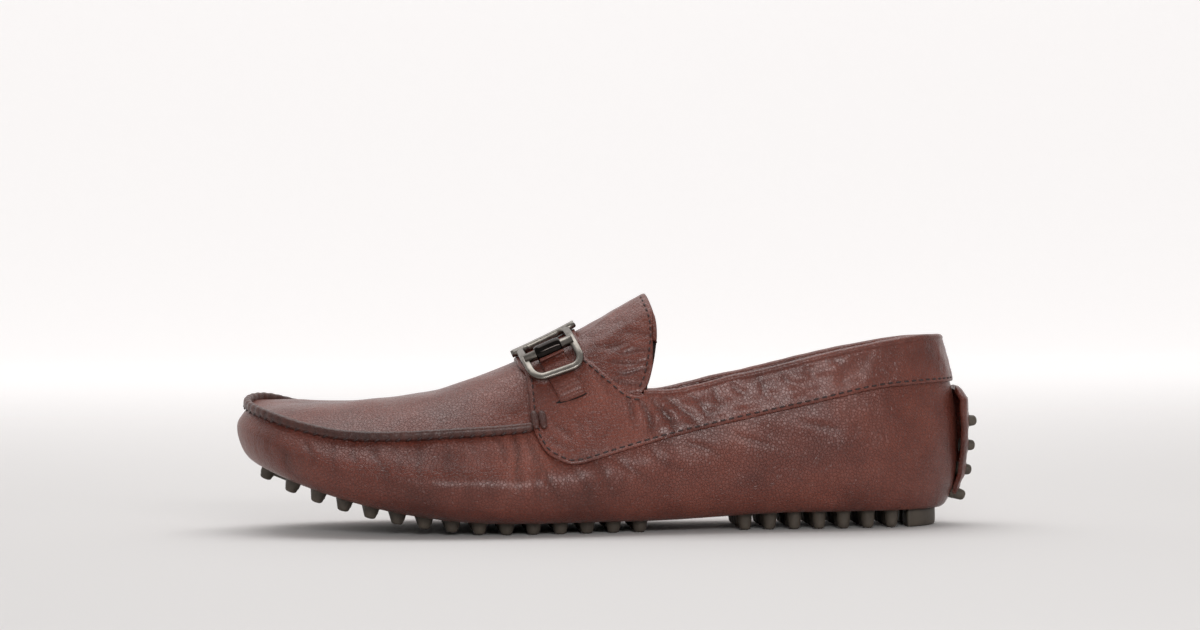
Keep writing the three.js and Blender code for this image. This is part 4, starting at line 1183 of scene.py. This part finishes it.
patch_outline = np.array([
    (PATCH_X + LENGTH * 0.002, PATCH_FOOT + tall * 0.05), (PATCH_X + LENGTH * 0.006, PATCH_FOOT),
    (FAR, PATCH_FOOT), (FAR, PATCH_TOP), (PATCH_X + LENGTH * 0.006, PATCH_TOP),
    (PATCH_X + LENGTH * 0.002, PATCH_TOP - tall * 0.03), (PATCH_X, PATCH_TOP - tall * 0.15),
    (PATCH_X + LENGTH * 0.007, PATCH_TOP - tall * 0.45),
    (PATCH_X + LENGTH * 0.0065, PATCH_TOP - tall * 0.75),
])
near_edge = through(patch_outline[[4, 5, 6, 7, 8, 0, 1]], 8)
patch_outline = np.concatenate([patch_outline[1:4], near_edge])
BACK_SEAM = 8.0  # the station of the back seam
back_v = np.linspace(1.02, 3, 300)
back_z = skin(np.full(300, BACK_SEAM), back_v)[:, 2]
pebble_z = back(0.175) + np.arange(4) * back(0.1245)
pebble_sv = np.full(4, BACK_SEAM), np.interp(pebble_z, back_z, back_v)
pebble_at, pebble_out = skin(*pebble_sv), outward(*pebble_sv)


def patch_keep(p):
    """Inside the patch's outline."""
    return inside(patch_outline, side_view(p))


def patch_lift(p, edge):
    """The strip and the leather, a lip along the edge with a groove inside it, and four rings."""
    lip = 0.5 * np.exp(-((edge - 0.9) / 0.8) ** 2) - 0.25 * np.exp(-((edge - 2.6) / 0.7) ** 2)
    rings = sum(0.35 * np.exp(-(((np.linalg.norm(p - c, axis=-1) - 3.1) / 0.7) ** 2)) for c in pebble_at)
    bare = stand_off(p) + PATCH_LEATHER + edge_roll(edge, 0.4, 1)
    return bare + lip + rings + 0.08 * ripple(p, 31, 6)


patch_grid = (np.linspace(6.8, 9.2, 150), np.linspace(1.02, 3, 120))
points, faces, base = cut_skin(*patch_grid, patch_keep, patch_lift)
patch = rim(add_mesh("heel_patch_leather", points, faces, "wrap_leather", wrap_calf), PATCH_LEATHER + 0.3)
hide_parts("heel_patch")

# %% The back pebbles
strip_at = strip_thickness(np.clip((pebble_z - PATCH_FOOT) / tall, 0, 1))
feet = pebble_at + pebble_out * (GAP + strip_at)[:, None]
tip = GAP + PATCH_LEATHER + 3.4
back_profile = [(-1.2, 2.6), (0.6, 2.4), (tip - 1.8, 2.1), (tip - 1.1, 2.0), (tip - 0.5, 1.65),
                (tip - 0.12, 1.0), (tip, 0.4), (tip, 0.01)]
pebbles = [spun(feet, pebble_out, back_profile, 16)]
back_pebbles = closed_piece("back_rubber", pebbles, "rubber", rubber, RUBBER_MERGE)
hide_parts("back_pebbles")

# %% [markdown]
# ## The metal
# Two cast rings lie on the instep, one on each side, joined over the ridge by two links. Their bars
# follow the curve of the leather, so each is a profile carried along a path on the skin. A dark
# plated barrel turns on each ring's axle.

# %% Bars on the instep
RING_LENGTH, RING_DROP, RING_BAR, RING_THICK, RING_CORNER = 23, 27, 2.9, 2.2, 6
TOP_BAR, AXLE, ROLLER_RADIUS, ROLLER_LENGTH = (RING_DROP - RING_BAR) / 2, -1.4, 3.2, 10.5
AXLE_LIFT = 2 * GAP + OVERLAY + ROLLER_RADIUS
TOP_BAR_LENGTH, LINK_WIDTH, STRAP, STRAP_WIDTH = 27.4, 6.4, 1.3, 10
METAL_MERGE, SEAT_V, CLOSE = 0.005, 3.7, 0.02


def seat(at):
    """At a station: where a ring starts, along the shoe, up the side, and outwards."""
    lengthwise = unit(skin(at + CLOSE, SEAT_V) - skin(at - CLOSE, SEAT_V))
    out = unit(np.cross(lengthwise, skin(at, SEAT_V + CLOSE) - skin(at, SEAT_V - CLOSE)))
    return skin(at, SEAT_V), lengthwise, np.cross(out, lengthwise), out


def metal_lift(p):
    """Just over the saddle on the ridge, and over a strap as well down the side."""
    return SADDLE_LIFT + 0.5 + (GAP + STRAP) * smoothstep(np.abs(p[..., 1]), 8, 22)


def on_instep(coords, target, side):
    """(s, v) on one side of the instep for some targets."""
    s, v, miss = find(coords, target, np.linspace(3.2, 4.7, 60) * side, np.linspace(3, 4, 60))
    return s, v


def bar(s, v, profile, closed=False):
    """A metal bar over the skin, its profile square to the path."""
    p, n = skin(s, v), outward(s, v)
    path = p + n * (metal_lift(p) + RING_THICK / 2)[:, None]
    t = tangents(path, closed)
    side = unit(np.cross(n, t))
    return sweep(path, side, np.cross(t, side), profile, closed=closed)


def in_seat(seat):
    """A function that gives where points lie in a seat: along the shoe and up the side."""
    here, lengthwise, upside, out = seat
    return lambda p: np.stack([(p - here) @ lengthwise, (p - here) @ upside], -1)


# %% Rings
seats = {1: seat(3.88), -1: seat(-3.94)}
x, y, r = (RING_LENGTH - RING_BAR) / 2, (RING_DROP - RING_BAR) / 2, RING_CORNER - RING_BAR / 2
turn = np.radians(np.arange(0, 360, 10))
signs = np.repeat([(1, 1), (-1, 1), (-1, -1), (1, -1)], 9, axis=0)
ring = r * np.stack([np.cos(turn), np.sin(turn)], -1) + signs * [x - r, y - r]
ring = np.concatenate([ring, ring[:1]])
run = run_length(ring)
ring = interp_rows(np.linspace(0, run[-1], 97)[:-1], run, ring)
half = TOP_BAR_LENGTH / 2 - 0.3
top = np.stack([np.linspace(-half, half, 30), np.full(30, TOP_BAR)], -1)
ring_profile = round_profile(RING_BAR, RING_THICK, 0.55)
top_profile = round_profile(RING_BAR + 0.4, RING_THICK + 0.5, 0.45)
metal = []
for side in (1, -1):
    flat = in_seat(seats[side])
    metal.append(bar(*on_instep(flat, ring, side), ring_profile, closed=True))
    metal.append(bar(*on_instep(flat, top, side), top_profile))

# %% Links
bar_ends = [seats[k][0] + seats[k][2] * TOP_BAR for k in (1, -1)]
middle = (bar_ends[0] + bar_ends[1]) / 2
slope = math.atan((crest(middle[0] + 8) - crest(middle[0] - 8)) / 16)
spread = (TOP_BAR_LENGTH - LINK_WIDTH) / 2


def level(p):
    """Along the slope of the ridge, and across."""
    off = p - middle
    return np.stack([off[..., 0] * math.cos(slope) + off[..., 2] * math.sin(slope), p[..., 1]], -1)


for x in (-spread, spread):
    halves = [on_instep(level, np.linspace(one, two, 14), side) for one, two, side in (
        ((x, bar_ends[0][1] - 1), (x, -0.3), 1), ((x, 0.3), (x, bar_ends[1][1] + 1), -1))]
    s, v = np.concatenate(halves, axis=1)
    metal.append(bar(s, v, round_profile(LINK_WIDTH, RING_THICK, 0.5)))

# %% Barrels and axles
reach, h, r, bore = (RING_LENGTH - RING_BAR) / 2, ROLLER_LENGTH / 2, ROLLER_RADIUS, 2.35
axle = [(-reach, 0.01), (-reach, 2), (reach, 2), (reach, 0.01)]
barrel_profile = [
    (-h, bore), (-h, r * 0.84), (-h * 0.96, r * 0.91), (-h * 0.86, r * 0.97), (-h * 0.6, r),
    (0, r * 1.005), (h * 0.6, r), (h * 0.86, r * 0.97), (h * 0.96, r * 0.91), (h, r * 0.84),
    (h, bore), (0, bore), (-h, bore),
]
for side, name in ((1, "outer"), (-1, "inner")):
    here, lengthwise, upside, out = seats[side]
    centre = (here + upside * AXLE + out * AXLE_LIFT)[None]
    metal.append(spun(centre, lengthwise[None], axle, 20))
    barrel = closed_piece(f"barrel_{name}", [spun(centre, lengthwise[None], barrel_profile, 40)],
                          "dark_gunmetal", black_nickel, METAL_MERGE)
    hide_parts(f"roller_{name}")
rings = closed_piece("rings_and_links", metal, "gunmetal", gunmetal, METAL_MERGE)
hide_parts("ornament")

# %% [markdown]
# ## The straps
# A strap holds each ring down: it folds under the barrel, runs beneath the ring's lower bar and
# goes through a slit in the saddle. Its lower half is crinkled, because it is pushed in there.

# %% Straps
FOLD_RADIUS, INSTEP_V = 1.15, (2.6, 4)
foot_at = (along(0.4555), fore(0.765))
for side, name in ((1, "outer"), (-1, "inner")):
    here, lengthwise, upside, out = seats[side]
    head = here + upside * (AXLE - ROLLER_RADIUS - GAP)
    s, v = on_side(np.linspace((head[0], head[2]), foot_at, 40), side, v_range=INSTEP_V)
    n = outward(s, v)
    share = np.linspace(0, 1, len(s))
    crinkle = 0.28 * np.sin(share * 26) * smoothstep(share, 0.35, 0.7) - 1.3 * smoothstep(share, 0.93, 1)
    path = skin(s, v) + n * (2 * GAP + OVERLAY + STRAP / 2 + crinkle)[:, None]
    curl = np.linspace(math.pi * 1.15, 0.12, 12)[:, None]
    lead = unit(path[0] - path[3])[None]
    fold = path[0] + FOLD_RADIUS * (n[0] * (1 - np.cos(curl)) + lead * np.sin(curl))
    path = np.concatenate([fold, path])
    t = tangents(path)
    across = lengthwise * side
    across = unit(across - t * (across * t).sum(-1, keepdims=True))
    ribbon = sweep(path, across, np.cross(t, across), round_profile(STRAP_WIDTH, STRAP, 0.3, 24))
    strap = closed_piece(f"strap_leather_{name}", [ribbon], "saddle_leather", strap_calf)
    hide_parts(f"strap_{name}")


# %% Slits, as cords of painted shade
def strand(line, side, lift, profile, power, thinnest, v_range=(1.6, 4)):
    """A cord laid over the saddle under a line: thick in the middle, thin at both ends.

    Its swelling is the root of 1 - x to a power, with x from -1 to 1 along it.
    """
    s, v = on_side(line, side, v_range=v_range)
    n = outward(s, v)
    path = skin(s, v) + n * (SADDLE_LIFT + lift)
    swell = np.sqrt(np.clip(1 - np.linspace(-1, 1, len(s)) ** power, thinnest, 1))
    return sweep(path, np.cross(n, tangents(path)), n, profile, swell)


slit_line, slit_profile = np.linspace((-23.0, 49.4), (-10.9, 53.2), 40), round_profile(1.7, 0.5)
slit_shadow_cords = [strand(slit_line, side, 0.05, slit_profile, 2, 0.02, INSTEP_V) for side in (1, -1)]
closed_piece("strap_slit_painted_shadows", slit_shadow_cords, "seam_leather", shadow)

# %% [markdown]
# ## Where the moccasin seam ends
# On each side the seam runs into a small keeper of two leather strands, sewn down at the saddle's
# front edge.

# %% Keepers
keeper_profile = round_profile(2.9, 1.7)
strands = [strand(np.linspace((x, 46.5), (x + 0.8, 39.8), 20), side, 0.35, keeper_profile, 4, 0.05)
           for side in (1, -1) for x in (-31.6, -28.6)]
closed_piece("seam_keepers", strands, "seam_leather", seam_calf)


# %% [markdown]
# ## The studio
# The floor is plain and pale and the light is broad and soft, from above and a little in front.
# The camera stands far away, almost level, on the outer side of the shoe.

# %% Floor and backdrop
# One sheet of pale paper lies under the shoe and curves up far behind it, where it glows on its own,
# more towards the back: painted light.
paper, paper_shader = new_material("pale_paper", Roughness=0.9)
paper_shader.inputs["Base Color"].default_value = colour("#d8d6d5")
paper_shader.inputs["Emission Color"].default_value = colour("#f6f4f4")
paper_place = node(paper, "TexCoord").outputs["Object"]
paper_y = node(paper, "SeparateXYZ", {"Vector": paper_place}).outputs["Y"]
paper_glow = node(paper, "MapRange", {"Value": paper_y}, From_Min=0.1, From_Max=1.6, To_Max=0.58,
                  interpolation_type="SMOOTHSTEP")
paper.node_tree.links.new(paper_glow.outputs["Result"], paper_shader.inputs["Emission Strength"])
fibre = node(paper, "TexNoise", {"Vector": paper_place}, Scale=400.0)
paper_bump = node(paper, "Bump", {"Height": fibre.outputs["Fac"]}, Distance=0.00005)
paper.node_tree.links.new(paper_bump.outputs["Normal"], paper_shader.inputs["Normal"])
turn = np.linspace(0, np.pi / 2, 24)
bend = np.stack([1.8 + 0.5 * np.sin(turn), 0.5 - 0.5 * np.cos(turn)], -1)  # from 1.8 m on, 0.5 m round
side_line = np.concatenate([[(-4, 0)], bend, [(2.3, 5)]])
sheet_x = np.array([-5.0, 5.0])
sheet = stack(sheet_x[:, None], side_line[None, :, 0], side_line[None, :, 1])
sheet_mesh = bpy.data.meshes.new("paper_sweep")
sheet_mesh.from_pydata(sheet.reshape(-1, 3).tolist(), [], grid_faces(2, len(side_line)).tolist())
sheet_mesh.polygons.foreach_set("use_smooth", [True] * len(sheet_mesh.polygons))
sheet_mesh.materials.append(paper)
sweep_object = bpy.data.objects.new("paper_sweep", sheet_mesh)
bpy.context.scene.collection.objects.link(sweep_object)


# %% Light
def soft_light(name, place, target, width, height, power):
    """A rectangular lamp that faces its target; metres and watts."""
    light = bpy.data.lights.new(name, "AREA")
    light.shape = "RECTANGLE"
    light.size, light.size_y = width, height
    light.energy = power
    lamp = bpy.data.objects.new(name, light)
    lamp.location = place
    lamp.rotation_euler = (Vector(target) - Vector(place)).to_track_quat("-Z", "Y").to_euler()
    bpy.context.scene.collection.objects.link(lamp)


soft_light("overhead", (0, 0.25, 1.1), (0, 0, 0), 1.2, 0.8, 8)
soft_light("front", (0.15, -1.35, 0.5), (0, 0, 0.03), 0.8, 0.25, 7)
world = bpy.data.worlds.new("studio")
bpy.context.scene.world = world
world.use_nodes = True
world.node_tree.nodes["Background"].inputs["Color"].default_value = colour("#f7f5f4")
world.node_tree.nodes["Background"].inputs["Strength"].default_value = 0.42
bpy.context.scene.view_settings.view_transform = "Standard"

# %% Camera
SENSOR, AWAY, FRAME = 36, 1500, 469  # mm: from AWAY the camera sees FRAME from side to side
TURN, TIP, ROLL = math.radians(4.5), math.radians(1.41), math.radians(-0.3)
forward = Vector((math.sin(TURN) * math.cos(TIP), math.cos(TURN) * math.cos(TIP), -math.sin(TIP)))
right = forward.cross(Vector((0, 0, 1))).normalized()
upward = right.cross(forward)
level_right = right * math.cos(ROLL) + upward * math.sin(ROLL)
camera_data = bpy.data.cameras.new("camera")
camera_data.sensor_width = SENSOR
camera_data.lens = SENSOR * AWAY / FRAME
camera_data.clip_end = 30
camera = bpy.data.objects.new("camera", camera_data)
axes = Matrix((level_right, level_right.cross(forward), -forward)).transposed().to_4x4()
camera.matrix_world = Matrix.Translation((-0.1211, -1.4954, 0.120)) @ axes
bpy.context.scene.collection.objects.link(camera)
bpy.context.scene.camera = camera
